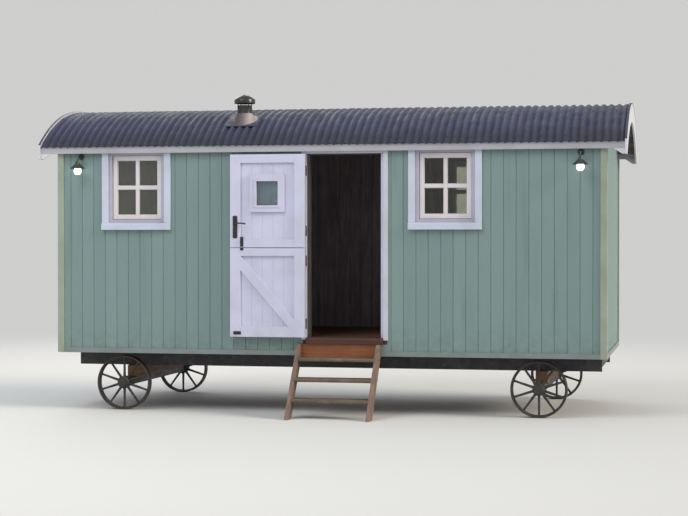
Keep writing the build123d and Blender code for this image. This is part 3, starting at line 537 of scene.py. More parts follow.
# Dark timber for two door stops: painted shade in the doorway.
stop_wood_shaded = timber("door_stop_painted_shade", (80, 71, 67), (58, 52, 50), GRAIN_Z)
ceiling_wood = timber("ceiling_timber", (114, 98, 92), (75, 64, 61), GRAIN_X, pitch=0.1)
floor_wood = timber("floor_timber", (118, 80, 60), (82, 54, 40), GRAIN_X, pitch=0.13)
beam_wood = timber("beam_timber", (150, 112, 74), (104, 72, 44), GRAIN_Y)
slate = roof_metal()
iron = dark_metal("black_iron_japanned", 26, 26, 28, 0.0, (0.28, 0.5))
enamel = dark_metal("lamp_enamel_dark", 32, 44, 40, 0.0, (0.22, 0.42), 0.0002)
capping = dark_metal("roof_capping_slate", 52, 55, 72, 0.0, (0.5, 0.7))
steel = dark_metal("chassis_steel_paint", 36, 36, 39, 0.5)
cast = dark_metal("wheel_iron_cast", 44, 42, 41, 0.6, (0.5, 0.75), 0.0009)
soot = dark_metal("flue_steel_black", 30, 30, 33, 0.15, (0.22, 0.38))
# Door glass: the blue tint on its share that is not clear is a painted sky reflection.
door_glass = window_pane("glass_clear", (0.82, 0.92, 1.0), (0.7, 0.8, 0.88), 0.92, 0.92)
# Window glass: the panes left of the doorway are less clear, and their olive tint there is painted light seen
# through them.
window_panes = window_pane("glass_window", (0.6, 0.62, 0.54), (0.5, 0.52, 0.44), 1.0, 0.915)
bulb_glass, flashing = lit_glass(), flashing_metal()


# Frame: the record's bodies and the CAD nodes that stay on show
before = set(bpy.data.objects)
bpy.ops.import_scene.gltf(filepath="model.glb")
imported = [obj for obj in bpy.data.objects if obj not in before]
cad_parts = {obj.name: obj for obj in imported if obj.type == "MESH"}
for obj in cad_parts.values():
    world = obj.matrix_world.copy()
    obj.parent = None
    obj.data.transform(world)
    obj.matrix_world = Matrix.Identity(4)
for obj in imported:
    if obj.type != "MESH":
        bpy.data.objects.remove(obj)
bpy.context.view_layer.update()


def keep(node, material, edge=0.0):
    """Shows a CAD node as it is, with a finish and small rounded edges."""
    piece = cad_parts[node]
    piece.data.materials.clear()
    piece.data.materials.append(material)
    if edge:
        round_edges(piece, edge, weld=True)


# Walls
def upright(shape, place, a, b, outer, inner, cut_a, cut_b, z_low, top):
    """One board through the wall's thickness, with chamfered edges where boards meet."""
    outline = [(a, inner + cut_a), (a, outer - cut_a), (a + cut_a, outer), (b - cut_b, outer),
               (b, outer - cut_b), (b, inner + cut_b), (b - cut_b, inner), (a + cut_a, inner)]
    outline = list(dict.fromkeys(outline))
    low = [place(u, out, z_low) for u, out in outline]
    high = [place(u, out, top(u, out)) for u, out in outline]
    middle = (outer + inner) / 2
    for i in range(len(outline)):
        inside = outline[i - 1][1] < middle and outline[i][1] < middle
        shape.add([low[i - 1], low[i], high[i], high[i - 1]], [(0, 1, 2, 3)], 1 if inside else 0)
    for end in (low, high):
        shape.add(end, [tuple(range(len(end)))])


def boarding(shape, place, span, outer, inner, z_low, top, start, pitch, holes=(), groove=board_groove):
    """Upright boards over a range, cut round the holes."""
    first, last = (span[0] - start) / pitch, (span[1] - start) / pitch
    count = range(math.ceil(first - 1e-6), math.floor(last + 1e-6) + 1)
    seams = {round(start + n * pitch, 3) for n in count} - {-half_length, half_length}
    edges = seams | set(span) | {u for hole in holes for u in hole[:2]}
    edges = sorted(edge for edge in edges if span[0] - 1e-6 <= edge <= span[1] + 1e-6)
    for a, b in zip(edges, edges[1:]):
        if b - a < 0.5:
            continue
        cut_a, cut_b = (min(groove, (b - a) / 3) if edge in seams else 0 for edge in (a, b))
        spans = [(z_low, top)]
        for left_u, right_u, hole_low, hole_high in holes:
            if left_u <= (a + b) / 2 <= right_u:
                spans = [(z_low, flat(hole_low)), (hole_high, top)]
        for low, high in spans:
            upright(shape, place, a, b, outer, inner, cut_a, cut_b, low, high)


def flat(height):
    """Level top for boards."""
    return lambda u, out: height


def long_top(u, out):
    return arc_height(wall_top_radius, half_width + out)


def end_top(u, out):
    return arc_height(wall_top_radius, abs(u))


def window_hole(x):
    return (x - window_width / 2, x + window_width / 2, window_bottom, window_bottom + window_height)


def walls():
    """Grooved boards in place of the plain wall slabs, the same places and thicknesses."""
    foot, inner, sill_top = wall_bottom, half_width - wall, flat(rough_bottom)
    low, high = rough_left, rough_right
    along, across = (-half_length, board_pitch), (-inner, 2 * inner / end_boards)
    plan = (("wall_front_left", "front_wall_left", front, -half_length, low, foot, long_top, along),
            ("wall_front_right", "front_wall_right", front, high, half_length, foot, long_top, along),
            ("wall_over_door", "front_wall_header", front, low, high, rough_top, long_top, along),
            ("wall_back", "back_wall", back, -half_length, half_length, foot, long_top, along),
            ("wall_under_door", "front_wall_sill", front, low, high, foot, sill_top, along),
            ("wall_end_left", "end_wall_left", left, -inner, inner, foot, end_top, across),
            ("wall_end_right", "end_wall_right", right, -inner, inner, foot, end_top, across))
    for name, node, place, low, high, z_low, top, (start, pitch) in plan:
        shape = Shape()
        holes = [window_hole(x) for x in window_xs if low < x < high and place in (front, back)]
        boarding(shape, place, (low, high), 0, -wall, z_low, top, start, pitch, holes)
        make(name, shape, [sage, lining], node, angle=20)


def outside_trims():
    """Corner boards and the boards along the foot of the walls."""
    corners, base = Shape(), Shape()
    depth = (clear, corner_thick)
    inset = corner_width - corner_thick
    corner_z = (wall_bottom, arc_height(wall_top_radius, half_width + corner_thick))
    for places, reach, lap in (((front, back), half_length, corner_thick), ((left, right), half_width, 0)):
        for place in places:
            for side in (-1, 1):
                span = sorted((side * (reach + lap), side * (reach - inset)))
                block(corners, place, span, depth, corner_z)
    make("corner_boards", corners, [corner_sage_lit], "corner_trims", bevel=2)
    steps_half = steps_inner / 2 + step_board
    for place, low, high in ((front, inset - half_length, steps_centre - steps_half),
                             (front, steps_centre + steps_half, half_length - inset),
                             (back, inset - half_length, half_length - inset),
                             (left, inset - half_width, half_width - inset),
                             (right, inset - half_width, half_width - inset)):
        block(base, place, (low + 0.5, high - 0.5), depth, (wall_bottom, wall_bottom + base_height))
    make("base_boards", base, [base_sage_lit], "base_trims", bevel=2)


# Roof
def corrugated_roof():
    """Real corrugations in lapped sheets, curved over the deck and open round the flue."""
    waves, lapped, metal, step_down, eaves_lap, flue_space = 8, 0.75, 1, 1.2, 18, 23
    rows, points_a_wave = 30, 8
    sheet, lap = roof_pitch * waves, roof_pitch * lapped
    angles = even_steps(math.asin(roof_half_span / roof_radius) + eaves_lap / roof_radius, rows)
    shape = Shape()
    for number in range(math.ceil(2 * roof_half_length / sheet)):
        over = number % 2
        start = number * sheet - roof_half_length
        low, high = start - lap * over, min(start + sheet + lap * over, roof_half_length)
        columns = round((high - low) / roof_pitch * points_a_wave)
        xs = [low + (high - low) * i / columns for i in range(columns + 1)]
        valleys = [sheet_depth / 2 * (1 - math.cos(2 * math.pi * x / roof_pitch)) for x in xs]
        surface = roof_radius - (0 if over else step_down)
        top, under = ([on_arc(x, surface - valley - depth, angle) for x, valley in zip(xs, valleys)
                       for angle in angles] for depth in (0, metal))
        n, width, end = len(top), rows + 1, columns * (rows + 1)
        faces = []
        for a in (i * width + j for i in range(columns) for j in range(rows)):
            if math.hypot(top[a][0] - flue_x, top[a][1] - flue_y) >= flue_radius + flue_space:
                faces.append((a, a + 1, a + width + 1, a + width))
                faces.append((n + a, n + a + width, n + a + width + 1, n + a + 1))
        edges = [(j, j + 1) for j in range(rows)] + [(end + j + 1, end + j) for j in range(rows)]
        for i in range(0, end, width):
            edges += [(i + width, i), (i + rows, i + rows + width)]
        shape.add(top + under, faces + [(a, n + a, n + b, b) for a, b in edges])
    make("roof_corrugated", shape, [slate], "roof_sheet", angle=50)


def barge_capping():
    """Folded metal strip over the top edge of each bargeboard."""
    shape = Shape()
    low, high, lip, metal, lap, reach = roof_radius + 6.2, roof_radius + 7.4, 9, 1, 1, 21.2
    angles = even_steps(math.asin((roof_half_span + 6) / low), 48)
    for side in (-1, 1):
        inner, outer = side * (roof_half_length - lap), side * (roof_half_length + reach)
        folded = outer - side * metal
        section = [(inner, low), (inner, high), (outer, high), (outer, high - lip), (folded, high - lip),
                   (folded, low)]
        extrude(shape, section, angles, on_arc)
    make("barge_capping", shape, [capping], angle=30)


def eaves_horns():
    """Tapered block under each end of the fascias, against the foot of the bargeboard."""
    shape = Shape()
    face, thick, fascia_depth = roof_half_span - 8, 20, 70
    bottom, foot, length, heel = arc_height(deck_radius, face) - fascia_depth, eave - 138, 105, 28
    for place in (front, back):
        for side in (-1, 1):
            outline = [(side * (roof_half_length - inwards), z)
                       for inwards, z in ((0, bottom), (0, foot), (heel, foot), (length, bottom))]
            extrude(shape, outline, (face - thick - half_width, face - half_width), facing(place))
    make("eaves_horns", shape, [white_across], bevel=1.5)


def roof_screws():
    """Washered screws on the crests over five battens."""
    shape = Shape()
    half_angle = math.asin(roof_half_span / roof_radius)
    profile = [(11, 0), (11, 1.5), (7, 3), (5, 3.2), (5, 6), (0, 6.5)]
    last_wave, every, flue_space, flue_row = 38, 3, 190, -0.5
    for share in (-0.94, flue_row, 0.0, 0.5, 0.94):
        angle = half_angle * share
        outwards = (0, math.sin(angle), math.cos(angle))
        for x in (n * roof_pitch for n in range(-last_wave, last_wave + 1, every)):
            if abs(x - flue_x) > flue_space or share != flue_row:
                lathe(shape, profile, on_arc(x, roof_radius - 1, angle), outwards, 10)
    make("roof_screws", shape, [steel])


def ceiling_boards():
    """Deck of boards along the hut, curved as a whole, grooved below and bored for the flue."""
    shape = Shape()
    boards, groove, top = 24, 4, deck_radius - 3
    cut, shoulder = groove / ceiling_radius, ceiling_radius + groove
    edges = even_steps(math.asin((roof_half_span - 28) / deck_radius), boards)
    for a, b in zip(edges, edges[1:]):
        section = [(top, a), (top, b), (shoulder, b), (ceiling_radius, b - cut), (ceiling_radius, a + cut),
                   (shoulder, a)]
        extrude(shape, section, (-roof_half_length, roof_half_length), lambda r, t, x: on_arc(x, r, t))
    deck = make("roof_boards", shape, [ceiling_wood], "roof_deck", angle=20)
    drill, hole = Shape(), flue_radius + 0.5
    lathe(drill, [(hole, eave), (hole, crown)], (flue_x, flue_y, 0), UPWARDS, 48)
    bore(deck, drill)


def flue():
    """Pipe, clamp band, coolie cowl on straps, and the cone over the flashing."""
    r, bead_r, sides = flue_radius, flue_radius + 1.5, 48
    pipe, cowl = Shape(), Shape()
    lathe(pipe, [(r - 4, flue_foot), (r, flue_foot), (r, flue_top - 7), (bead_r, flue_top - 5),
                 (bead_r, flue_top), (r - 4, flue_top)], (flue_x, flue_y, 0), UPWARDS, sides, loop=True)
    lathe(pipe, [(r, -14), (r + 4, -13), (r + 5, -8), (r + 5, 8), (r + 4, 13), (r, 14)],
          (flue_x, flue_y, collar_top), UPWARDS, sides)
    make("flue_stack", pipe, [soot], "flue_pipe")
    lathe(cowl, [(104, -1), (106, 0), (106, 37), (104, 41), (60, 71), (8, 95.5), (0, 96), (0, 92), (58, 67),
                 (101, 38), (102, 0)], (flue_x, flue_y, flue_top + 20), UPWARDS, sides, loop=True)
    for turn in (math.pi / 4 + math.pi / 2 * k for k in range(4)):
        strap = [(flue_x + out * math.cos(turn), flue_y + out * math.sin(turn), flue_top + rise)
                 for out, rise in ((r + 3, -35), (r + 3, 5), (r + 13, 40), (r + 17, 64))]
        tube(cowl, strap, 4, 8)
    make("flue_coolie", cowl, [soot], "flue_cowl")
    keep("flue_flashing", flashing, 2)


# Windows
def portal(shape, place, inner, width, depth, z, head_foot, head_set=0, finishes=(0, 0, 0)):
    """Two posts with a head between them, set back a little, round an opening of this inner range."""
    block(shape, place, (inner[0] - width, inner[0]), depth, z, finishes[0])
    block(shape, place, (inner[1], inner[1] + width), depth, z, finishes[1])
    head_depth = (depth[0], depth[1] - head_set)
    block(shape, place, (inner[0] + seat, inner[1] - seat), head_depth, (head_foot, z[1]), finishes[2])


def framed(shape, place, u, z, inner_u, inner_z, depth, rail_set):
    """Two stiles over the whole height, with rails between them that are set back a little."""
    for span in ((u[0], inner_u[0]), (inner_u[1], u[1])):
        block(shape, place, span, depth, z)
    for span in ((z[0], inner_z[0]), (inner_z[1], z[1])):
        block(shape, place, inner_u, (depth[0], depth[1] - rail_set), span)


def windows():
    """Liner, trims, sill, sash with glazing bars and putty, for each window."""
    liners, trims, sills, sashes, putty = (Shape() for _ in range(5))
    head_top = arc_height(wall_top_radius, half_width + trim_thick)
    edge, depth = trim_width - 1, (clear, trim_thick)
    for place in (front, back):
        for x in window_xs:
            low_u, high_u, low_z, high_z = window_hole(x)
            foot, inner = low_z - edge, (low_u + 1, high_u - 1)
            ring(liners, place, (low_u, high_u), (low_z, high_z), liner, (-wall, 0))
            portal(trims, place, inner, trim_width, depth, (low_z + 1, head_top), high_z - 1, 1)
            section = [(clear, low_z + 1), (trim_thick + 2, low_z + 1), (sill_reach, low_z - 8),
                       (sill_reach, foot), (sill_reach - 12, foot), (sill_reach - 16, foot + 6),
                       (sill_reach - 20, foot), (clear, foot)]
            extrude(sills, section, (low_u - edge, high_u + edge), endways(place))
            sash(sashes, putty, place, (low_u, high_u), (low_z, high_z))
    make("window_liners", liners, [liner_white_shaded], "window_frames", bevel=1.5)
    make("window_architraves", trims, [casing_white], "window_trims", bevel=2)
    make("window_sills", sills, [casing_white], bevel=2)
    make("sash_frames", sashes, [cream], "window_sashes", bevel=2)
    make("sash_putty", putty, [cream])
    keep("window_glass", window_panes)


def sash(shape, putty, place, u, z):
    """Stiles, rails and a cross of bars round four panes, with a shadow line round the sash."""
    gap, line, bar, putty_size = liner + 0.5, 3, 17, 6
    back_face, face = -sash_back - sash_thick, -sash_back
    u, z = (u[0] + gap, u[1] - gap), (z[0] + gap, z[1] - gap)
    ring(shape, place, u, z, line + 0.5, (back_face + 0.5, back_face + 14))
    inner_u, inner_z = ((low + sash_member, high - sash_member) for low, high in (u, z))
    u, z = (u[0] + line, u[1] - line), (z[0] + line, z[1] - line)
    framed(shape, place, u, z, inner_u, inner_z, (back_face, face), 0.6)
    across, upward = ((sum(inner) / 2 - bar, sum(inner) / 2 + bar) for inner in (inner_u, inner_z))
    block(shape, place, across, (back_face + 4, face - 5), inner_z)
    block(shape, place, inner_u, (back_face + 4.5, face - 5.5), upward)
    pane = face - sash_thick / 2
    section = [(0, pane - 1), (putty_size, pane - 1), (0, pane + putty_size)]
    for pane_u in ((inner_u[0], across[0]), (across[1], inner_u[1])):
        for pane_z in ((inner_z[0], upward[0]), (upward[1], inner_z[1])):
            mitred(putty, place, pane_u, pane_z, section)


# Doorway and door
def doorway():
    """Jambs, stops and architraves round the doorway; the hinge-side and head stops are dark timber, as
    painted shade.
    """
    jambs, stops, faces = Shape(), Shape(), Shape()
    through, behind = (-wall, 0), (-wall, -stop_depth)
    portal(jambs, front, (jamb_left, jamb_right), jamb, through, (floor_top, rough_top), head_z)
    make("door_jambs", jambs, [white_up], "door_frame", bevel=2)
    # Hinge-side and head stops take the dark finish as painted shade; the latch-side stop is white.
    portal(stops, front, (jamb_left + stop_lap, jamb_right - stop_lap), stop_lap, behind, (floor_top, head_z),
           head_z - head_stop, finishes=(1, 0, 1))
    make("door_stop_boards", stops, [white_up, stop_wood_shaded], "door_stops", bevel=2)
    top = arc_height(wall_top_radius, half_width + trim_thick)
    portal(faces, front, (jamb_left - 2, jamb_right + 2), architrave, (clear, trim_thick),
           (architrave_foot, top), head_z + 2, 1)
    make("door_surround", faces, [surround_white], "door_architraves", bevel=2)
    keep("threshold", threshold_wood, 2)


def leaf(name, low, high, low_rail, high_rail, holes, brace):
    """Upright boards of one leaf, and its frame with a brace or without."""
    boards, timbers = Shape(), Shape()
    boarding(boards, front, (latch_x, hinge_x), leaf_mid, leaf_back, low, flat(high), latch_x, leaf_width / 7,
             holes, groove=3)
    make(name + "_boards", boards, [white_up, white_up], body=name, angle=20)
    inner, rails = (latch_x + stile, hinge_x - stile), (low + low_rail, high - high_rail)
    framed(timbers, front, (latch_x, hinge_x), (low, high), inner, rails, (leaf_mid, leaf_front), 0.7)
    if brace:
        extrude(timbers, brace_outline(inner, rails), (leaf_mid, leaf_front - 1), facing(front))
    make(name + "_frame", timbers, [white_up], "door_" + name, bevel=2, body=name)


def brace_outline(inner, rails):
    """Brace from the hinge side's foot, ending 70 mm short of the top rail, cut to the frame."""
    drop, half, past = 70, 47.5, 95
    foot, head = Vector((inner[1], rails[0])), Vector((inner[0], rails[1] - drop))
    along = (head - foot).normalized()
    across = Vector((-along.y, along.x)) * half
    start, end = foot - along * past, head + along * past
    outline = [tuple(corner) for corner in (start - across, end - across, end + across, start + across)]
    for axis, limits in ((0, inner), (1, rails)):
        outline = clip(clip(outline, axis, limits[0], False), axis, limits[1], True)
    return outline


def clip(points, axis, limit, keep_below):
    """Part of a polygon on one side of a line across the given axis."""
    kept = []
    for p, q in zip(points, points[1:] + points[:1]):
        p_in, q_in = (p[axis] <= limit) == keep_below, (q[axis] <= limit) == keep_below
        if p_in:
            kept.append(p)
        if p_in != q_in:
            t = (limit - p[axis]) / (q[axis] - p[axis])
            kept.append((p[0] + (q[0] - p[0]) * t, p[1] + (q[1] - p[1]) * t))
    return kept


def leaves():
    """The two leaves of the stable door: the upper one has a light, the lower one a brace."""
    u, z = (light_x - light_w / 2, light_x + light_w / 2), (light_z - light_h / 2, light_z + light_h / 2)
    leaf("upper_leaf", leaf_split + 3, leaf_top, middle_rail, upper_rail, [(*u, *z)], brace=False)
    beads = Shape()
    bead(beads, u, z, light_bead, (leaf_mid, leaf_front + 4))
    bead(beads, u, z, 22, (leaf_front + 3, leaf_front + 10))
    bead(beads, u, z, 26, (leaf_back - 6, leaf_back))
    make("light_beads", beads, [white_up], "door_light_beads", bevel=1.5, body="upper_leaf")
    keep("door_light_glass", door_glass)
    leaf("lower_leaf", leaf_bottom, leaf_split - 3, lower_rail, middle_rail, (), brace=True)


def hinges():
    """Screws on the hinge plates, whose knuckles and pins are the CAD ones."""
    for node in ("door_frame_hinges", "door_upper_hinges", "door_lower_hinges"):
        keep(node, iron, 0.6)
    plate, x = 4, hinge_x - 30
    for leaf_name, heights in (("upper", upper_hinge_heights), ("lower", lower_hinge_heights)):
        leaf_side, post_side = Shape(), Shape()
        for z in (height + dz for height in heights for dz in (-34, 0, 34)):
            screw(leaf_side, lambda u, out, h: front(u, leaf_back - out, h), x, plate, z)
            screw(post_side, front, x, trim_thick + plate, z)
        name = leaf_name + "_hinge_screws"
        make(name, leaf_side, [iron], body=leaf_name + "_leaf")
        make(name + "_post", post_side, [iron])


def handles():
    """Long plates, screws and curved levers on both faces of the upper leaf."""
    shape = Shape()
    x, z, plate = lever_x, lever_z, 8
    half_u, half_z, corner = 12, 100, 11
    outline = []
    for quarter, (way_u, way_z) in enumerate(((1, 1), (-1, 1), (-1, -1), (1, -1))):
        turns = [math.pi / 2 * (quarter + i / 4) for i in range(5)]
        outline += [(way_u * half_u + corner * math.cos(turn), way_z * half_z + corner * math.sin(turn))
                    for turn in turns]
    for way, face in ((1, leaf_front), (-1, leaf_back)):
        def place(u, out, h, way=way, face=face):
            return front(x + u, face + way * out, z + h)
        extrude(shape, outline, (clear, 5), facing(place))
        extrude(shape, [(u * 0.87, h * 0.97) for u, h in outline], (4.9, plate), facing(place))
        for h in (-94, 94):
            screw(shape, place, 0, plate, h, 5)
        turned(shape, place, (0, plate, 35), [(14, 0), (14, 3), (10, 6), (9, 24)], 24)
        path = ((0, 26, 35), (6, 32, 35), (40, 33, 38), (80, 32, 36), (108, 30, 31), (114, 28, 30))
        tube(shape, [place(*spot) for spot in path], [9, 9, 7, 7.5, 8, 4], 16)
        turned(shape, place, (0, plate, -45), [(7, 0), (7, 4), (4, 6), (0, 6.5)], 20)
    make("lever_handles", shape, [iron], "door_handles", body="upper_leaf")


def staple(shape, point, height, radius):
    """Bent wire over a bolt: point(side, out) says where it goes."""
    foot = [(-11, 2), (-10, height - 8), (-6, height - 2)]
    path = foot + [(0, height)] + [(-side, out) for side, out in reversed(foot)]
    tube(shape, [point(side, out) for side, out in path], radius, 10)


def barrel_bolt(shape, place, upright_bolt, start, length):
    """Bolt on a plate: rod, knob, two staples and the screws."""
    width, plate, rod_out = 32, 3, 9

    def point(run, out, side):
        u, z = (side, run) if upright_bolt else (run, side)
        return place(start[0] + u, out, start[1] + z)
    outline = [(0, -width / 2), (length, -width / 2), (length, width / 2), (0, width / 2)]
    extrude(shape, outline, (clear, plate), facing(point))
    tube(shape, [point(2, rod_out, 0), point(length - 2, rod_out, 0)], 5.5, 16)
    for share in (0.18, 0.78):
        staple(shape, lambda side, out: point(length * share, out, side), 17, 2.6)
    knob = ((rod_out, 0), (17, -9), (20, -13))
    tube(shape, [point(length * 0.48, out, side) for out, side in knob], [3.5, 3.5, 5.5], 12)
    for run in (length * 0.07, length * 0.93):
        for side in (width * -0.34, width * 0.34):
            turned(shape, point, (run, plate, side), [(2.6, -0.3), (2.6, 0.5), (1.4, 1.4), (0, 1.6)], 10)


def bolts():
    """The bolt that joins the leaves, drawn back, its keep, and the foot bolt."""
    def leaf_face(u, out, z):
        return front(u, leaf_front + out, z)
    upper, lower = Shape(), Shape()
    barrel_bolt(upper, leaf_face, True, (bolt_x, leaf_split + 11), 96)
    make("leaf_bolt", upper, [iron], "door_upper_bolt", bevel=0.5, body="upper_leaf")
    keep_z, half_keep = leaf_split - 14, 11
    block(lower, leaf_face, (bolt_x - 16, bolt_x + 16), (clear, 3), (keep_z - half_keep, keep_z + half_keep))
    staple(lower, lambda side, out: leaf_face(bolt_x + side, out, keep_z), 16, 3)
    barrel_bolt(lower, leaf_face, False, (latch_x + 35, leaf_bottom + 39), 76)
    make("keep_and_foot_bolt", lower, [iron], "door_lower_bolts", bevel=0.5, body="lower_leaf")


# Lamps
def lamps():
    """Plate and bent arm, conical shade with a rolled rim, lampholder and a lit bulb."""
    arms, shades, bulbs = Shape(), Shape(), Shape()
    for x in (-lamp_x, lamp_x):
        top = front(x, lamp_reach, shade_top)
        turned(arms, front, (x, 0, lamp_z), [(32, 0), (32, 4), (29, 7), (14, 9), (11, 16)], 32)
        for side in (-22, 22):
            screw(arms, front, x + side, 6.5, lamp_z, 3.5)
        corner = [front(x, 4, lamp_z), front(x, lamp_reach, lamp_z), front(x, lamp_reach, shade_top - 4)]
        tube(arms, bent(corner, 38, 12), 8, 18)
        lathe(arms, [(8, 8), (13, 6), (15, 0), (15, -2)], top, UPWARDS, 24)
        lathe(shades, [(0, 0), (18, 0), (23, -3), (24.5, -16), (27, -21), (74, -63), (76, -65.5), (76, -67.5),
                       (73.5, -67.5), (72, -65), (25, -23), (22, -17), (21, -6), (0, -4)], top, UPWARDS, 56)
        lathe(bulbs, [(13, -6), (14, -34), (16, -45), (24, -56), (33, -68), (37.5, -82), (38, -92),
                      (35, -107), (27, -119.5), (14, -127), (0, -128.5)], top, UPWARDS, 32)
    make("lamp_arms", arms, [enamel], "lamp_brackets")
    make("lamp_cones", shades, [enamel], "lamp_shades")
    make("lamp_globes", bulbs, [bulb_glass], "lamp_bulbs")


# Steps
def steps():
    """Raking side boards, three treads with rounded fronts, the riser board, and the screws."""
    top, top_reach, rake = floor_top - 61, 60, 120
    run = step_reach - top_reach
    back_foot = step_reach - rake * math.hypot(run, top) / top
    tread_thick, tread_depth, nosing, head_drop, riser_thick = 35, 185, 18, 17, 20
    sides, treads, board, heads = Shape(), Shape(), Shape(), Shape()
    span = (steps_centre - steps_inner / 2, steps_centre + steps_inner / 2)
    outline = [(step_reach, 0), (top_reach, top), (seat, top), (seat, back_foot * top / run), (back_foot, 0)]
    for low, high in ((span[0] - step_board, span[0]), (span[1], span[1] + step_board)):
        extrude(sides, outline, (low, high), endways(front))
    for z in (step_rise, 2 * step_rise, 3 * step_rise):
        nose = step_reach - run * z / top + nosing
        rear = max(nose - tread_depth, seat)
        section = [(rear, z - tread_thick), (nose - 8, z - tread_thick), (nose - 2, z - 31), (nose, z - 25),
                   (nose, z - 10), (nose - 3, z - 3), (nose - 10, z), (rear, z)]
        extrude(treads, section, span, endways(front))
        for side, x in ((-1, span[0] - step_board), (1, span[1] + step_board)):
            for out in (nose - 60, rear + 50):
                spot = front(x, out, z - head_drop)
                lathe(heads, [(6, -0.5), (6, 1.5), (4, 3.5), (0, 4)], spot, (side, 0, 0), 12)
    block(board, front, span, (seat, riser_thick), (3 * step_rise, top))
    make("step_sides", sides, [side_wood], "step_stringers", bevel=2.5)
    make("step_boards", treads, [tread_wood], "step_treads", bevel=1)
    make("step_back_board", board, [riser_wood], "step_riser", bevel=2)
    make("step_screws", heads, [steel])


# Running gear
def wheels():
    """Cast wheels: flanged rim, ten tapered spokes that spread where they meet it, and a turned hub."""
    half_rim = [(250, 7), (256, 12), (259, 41), (262, 45), (272, 45), (275, 42)]
    half_hub = [(62, 38), (55, 44), (48, 50), (48, 56), (46, 60), (46, 73), (44, 75), (25.3, 75)]
    spokes, bolt_count, bolt_ring, hub_end = 10, 5, 35, 75
    for name, x, side in (("wheel_front_left", -wheel_x, -1), ("wheel_front_right", wheel_x, -1),
                          ("wheel_back_left", -wheel_x, 1), ("wheel_back_right", wheel_x, 1)):
        middle = Vector((x, hut_y + side * wheel_offset, wheel_radius))
        shape = Shape()
        for half, sides in ((half_rim, 80), (half_hub, 48)):
            lathe(shape, half + [(r, -a) for r, a in reversed(half)], middle, (0, 1, 0), sides, loop=True)
        for across, up in circle(spokes):
            spoke(shape, middle, Vector((up, 0, across)))
        for turn in (2 * math.pi * (k + 0.5) / bolt_count for k in range(bolt_count)):
            spot = middle + Vector((bolt_ring * math.cos(turn), side * hub_end, bolt_ring * math.sin(turn)))
            lathe(shape, [(5.5, -1), (5.5, 4), (4, 5)], spot, (0, side, 0), 6)
        make("cast_" + name, shape, [cast], name, body=name, angle=40)


def spoke(shape, middle, way):
    """Oval spoke from the hub to the rim, thick at its root and spread at its tip."""
    axle = Vector((0, 1, 0))
    across = axle.cross(way)
    stations = [(54, 21, 17), (66, 18, 14.5), (84, 15.5, 13), (160, 13, 11.5), (228, 11.5, 10.5),
                (246, 15, 12), (258, 21, 16)]
    rings = []
    for distance, along, wide in stations:
        spot = middle + way * distance
        rings.append([tuple(spot + axle * (along * c) + across * (wide * s)) for c, s in circle(12)])
    loft(shape, rings)


def under_hut():
    """Rails, cross members, bolsters and axles, with their bolts."""
    keep("chassis_rails", steel, 1.5)
    keep("chassis_crossmembers", steel, 1.5)
    keep("axle_bolsters", beam_wood, 3)
    keep("axles", steel, 1)
    keep("floor_joists", beam_wood, 2)
    heads = Shape()
    first_member, member_gap, bolster_flange = 2660, 1330, 438
    for side in (-1, 1):
        rail_y = hut_y + side * rail_offset
        for x in (wheel * wheel_x + dx for wheel in (-1, 1) for dx in (-38, 38)):
            for inwards in (18, 42):
                spot = (x, rail_y - side * inwards, bolster_flange)
                lathe(heads, [(11, 0), (11, 7), (9, 9), (0, 9)], spot, UPWARDS, 6)
        for x in (n * member_gap - first_member for n in range(5)):
            for z in (505, 545):
                spot = (x, rail_y + side * 0.5, z)
                lathe(heads, [(10, -1), (10, 6), (8, 8), (0, 8)], spot, (0, side, 0), 6)
    make("chassis_bolts", heads, [steel])


def floor_and_finish():
    """Floor boards along the hut, and the CAD pieces that only need a finish."""
    shape = Shape()
    boards, thick, groove, reach = 16, 22, 2, half_length - wall
    edges = [hut_y + step for step in even_steps(half_width - wall, boards)]
    for a, b in zip(edges, edges[1:]):
        section = [(a, floor_top - thick), (b, floor_top - thick), (b, floor_top - groove),
                   (b - groove, floor_top), (a + groove, floor_top), (a, floor_top - groove)]
        extrude(shape, section, (-reach, reach), lambda y, z, x: (x, y, z))
    make("floor_boards", shape, [floor_wood], "floor_deck", angle=20)
    keep("fascias", fascia_white_shaded, 2)
    keep("bargeboards", white_across, 2.5)


# Stage, light and camera
def stage(pale):
    """Pale floor that fades into the background far off."""
    p = Paint("stage_floor", 0.9, Base_Color=(0.66, 0.66, 0.655))
    distance = p.node("VectorMath", {0: p.place}, operation="LENGTH")["Value"]
    far = p.node("Emission", {"Color": pale})[0]
    surface = p.mix(p.between(distance, 5.0, 16.0), p.shader.outputs[0], far)
    p.feed(p.tree.nodes["Material Output"].inputs["Surface"], surface)
    bpy.ops.mesh.primitive_circle_add(vertices=96, radius=260, fill_type="NGON", location=(0, 0, -0.0005))
    floor = bpy.context.object
    floor.name = "stage_floor"
    floor.data.materials.append(p.material)


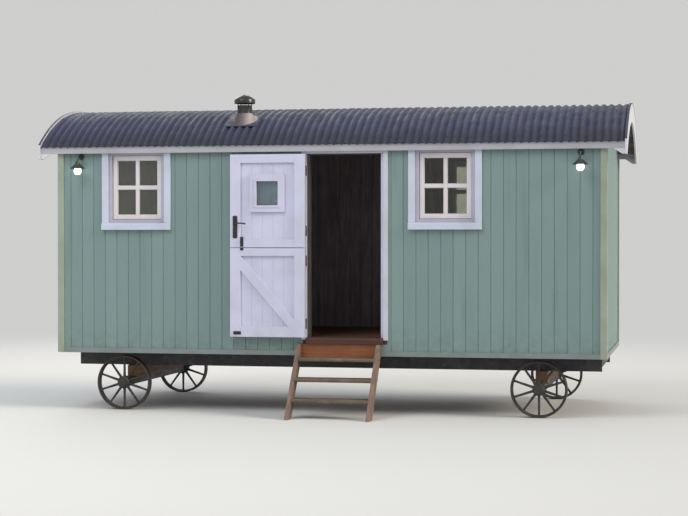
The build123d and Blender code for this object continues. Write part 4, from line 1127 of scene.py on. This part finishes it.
def studio(pale):
    """Even light all round, a plain background where it is seen, and three lamps."""
    world = bpy.data.worlds.new("studio")
    bpy.context.scene.world = world
    world.use_nodes = True
    w = Nodes(world.node_tree)
    ambient = w.tree.nodes["Background"]
    w.feed(ambient.inputs["Color"], (0.93, 0.96, 1.0))
    w.feed(ambient.inputs["Strength"], 0.62)
    plain = w.node("Background", {"Color": pale})[0]
    rays = w.node("LightPath", {})
    seen = w.math("MAXIMUM", rays["Is Camera Ray"], rays["Is Transmission Ray"])
    seen = w.math("MAXIMUM", seen, rays["Is Glossy Ray"])
    w.feed(w.tree.nodes["World Output"].inputs["Surface"], w.mix(seen, ambient.outputs[0], plain))
    light("key", "SUN", (17, -2.6, 9.5), 2.6, (1.0, 0.9, 0.73), math.radians(25))
    light("fill", "AREA", (-5, -10, 12), 870, (0.95, 0.98, 1.0), 8.0)
    light("rear", "AREA", (-6, 11, 8), 380, (1.0, 1.0, 1.0), 7.0)
    bpy.context.scene.view_settings.view_transform = "Standard"


def aimed(name, data, spot, target):
    """Lamp or camera at a spot, facing a target."""
    holder = linked(name, data)
    holder.location = spot
    holder.rotation_euler = (Vector(target) - Vector(spot)).to_track_quat("-Z", "Y").to_euler()
    return holder


def light(name, kind, spot, strength, tint, spread):
    """One lamp that faces the hut: an area lamp of this width, or a sun of this angle."""
    lamp = bpy.data.lights.new(name, kind)
    lamp.energy, lamp.color = strength, tint
    setattr(lamp, "angle" if kind == "SUN" else "size", spread)
    aimed(name, lamp, spot, (0, 0, 1.5))


def camera():
    """The photograph's place and way of looking, with a longer lens so that the hut fills the frame."""
    data = bpy.data.cameras.new("camera")
    data.lens, data.sensor_width, data.clip_end = 91, 36, 600
    bpy.context.scene.camera = aimed("camera", data, (3.688, -17.557, 1.733), (0.02, 0.0, 1.53))


for build in (walls, outside_trims, corrugated_roof, barge_capping, eaves_horns, roof_screws, ceiling_boards,
              flue, windows, doorway, leaves, hinges, handles, bolts, lamps, steps, wheels, under_hut,
              floor_and_finish):
    build()
background = (0.62, 0.62, 0.615)
stage(background)
studio(background)
camera()
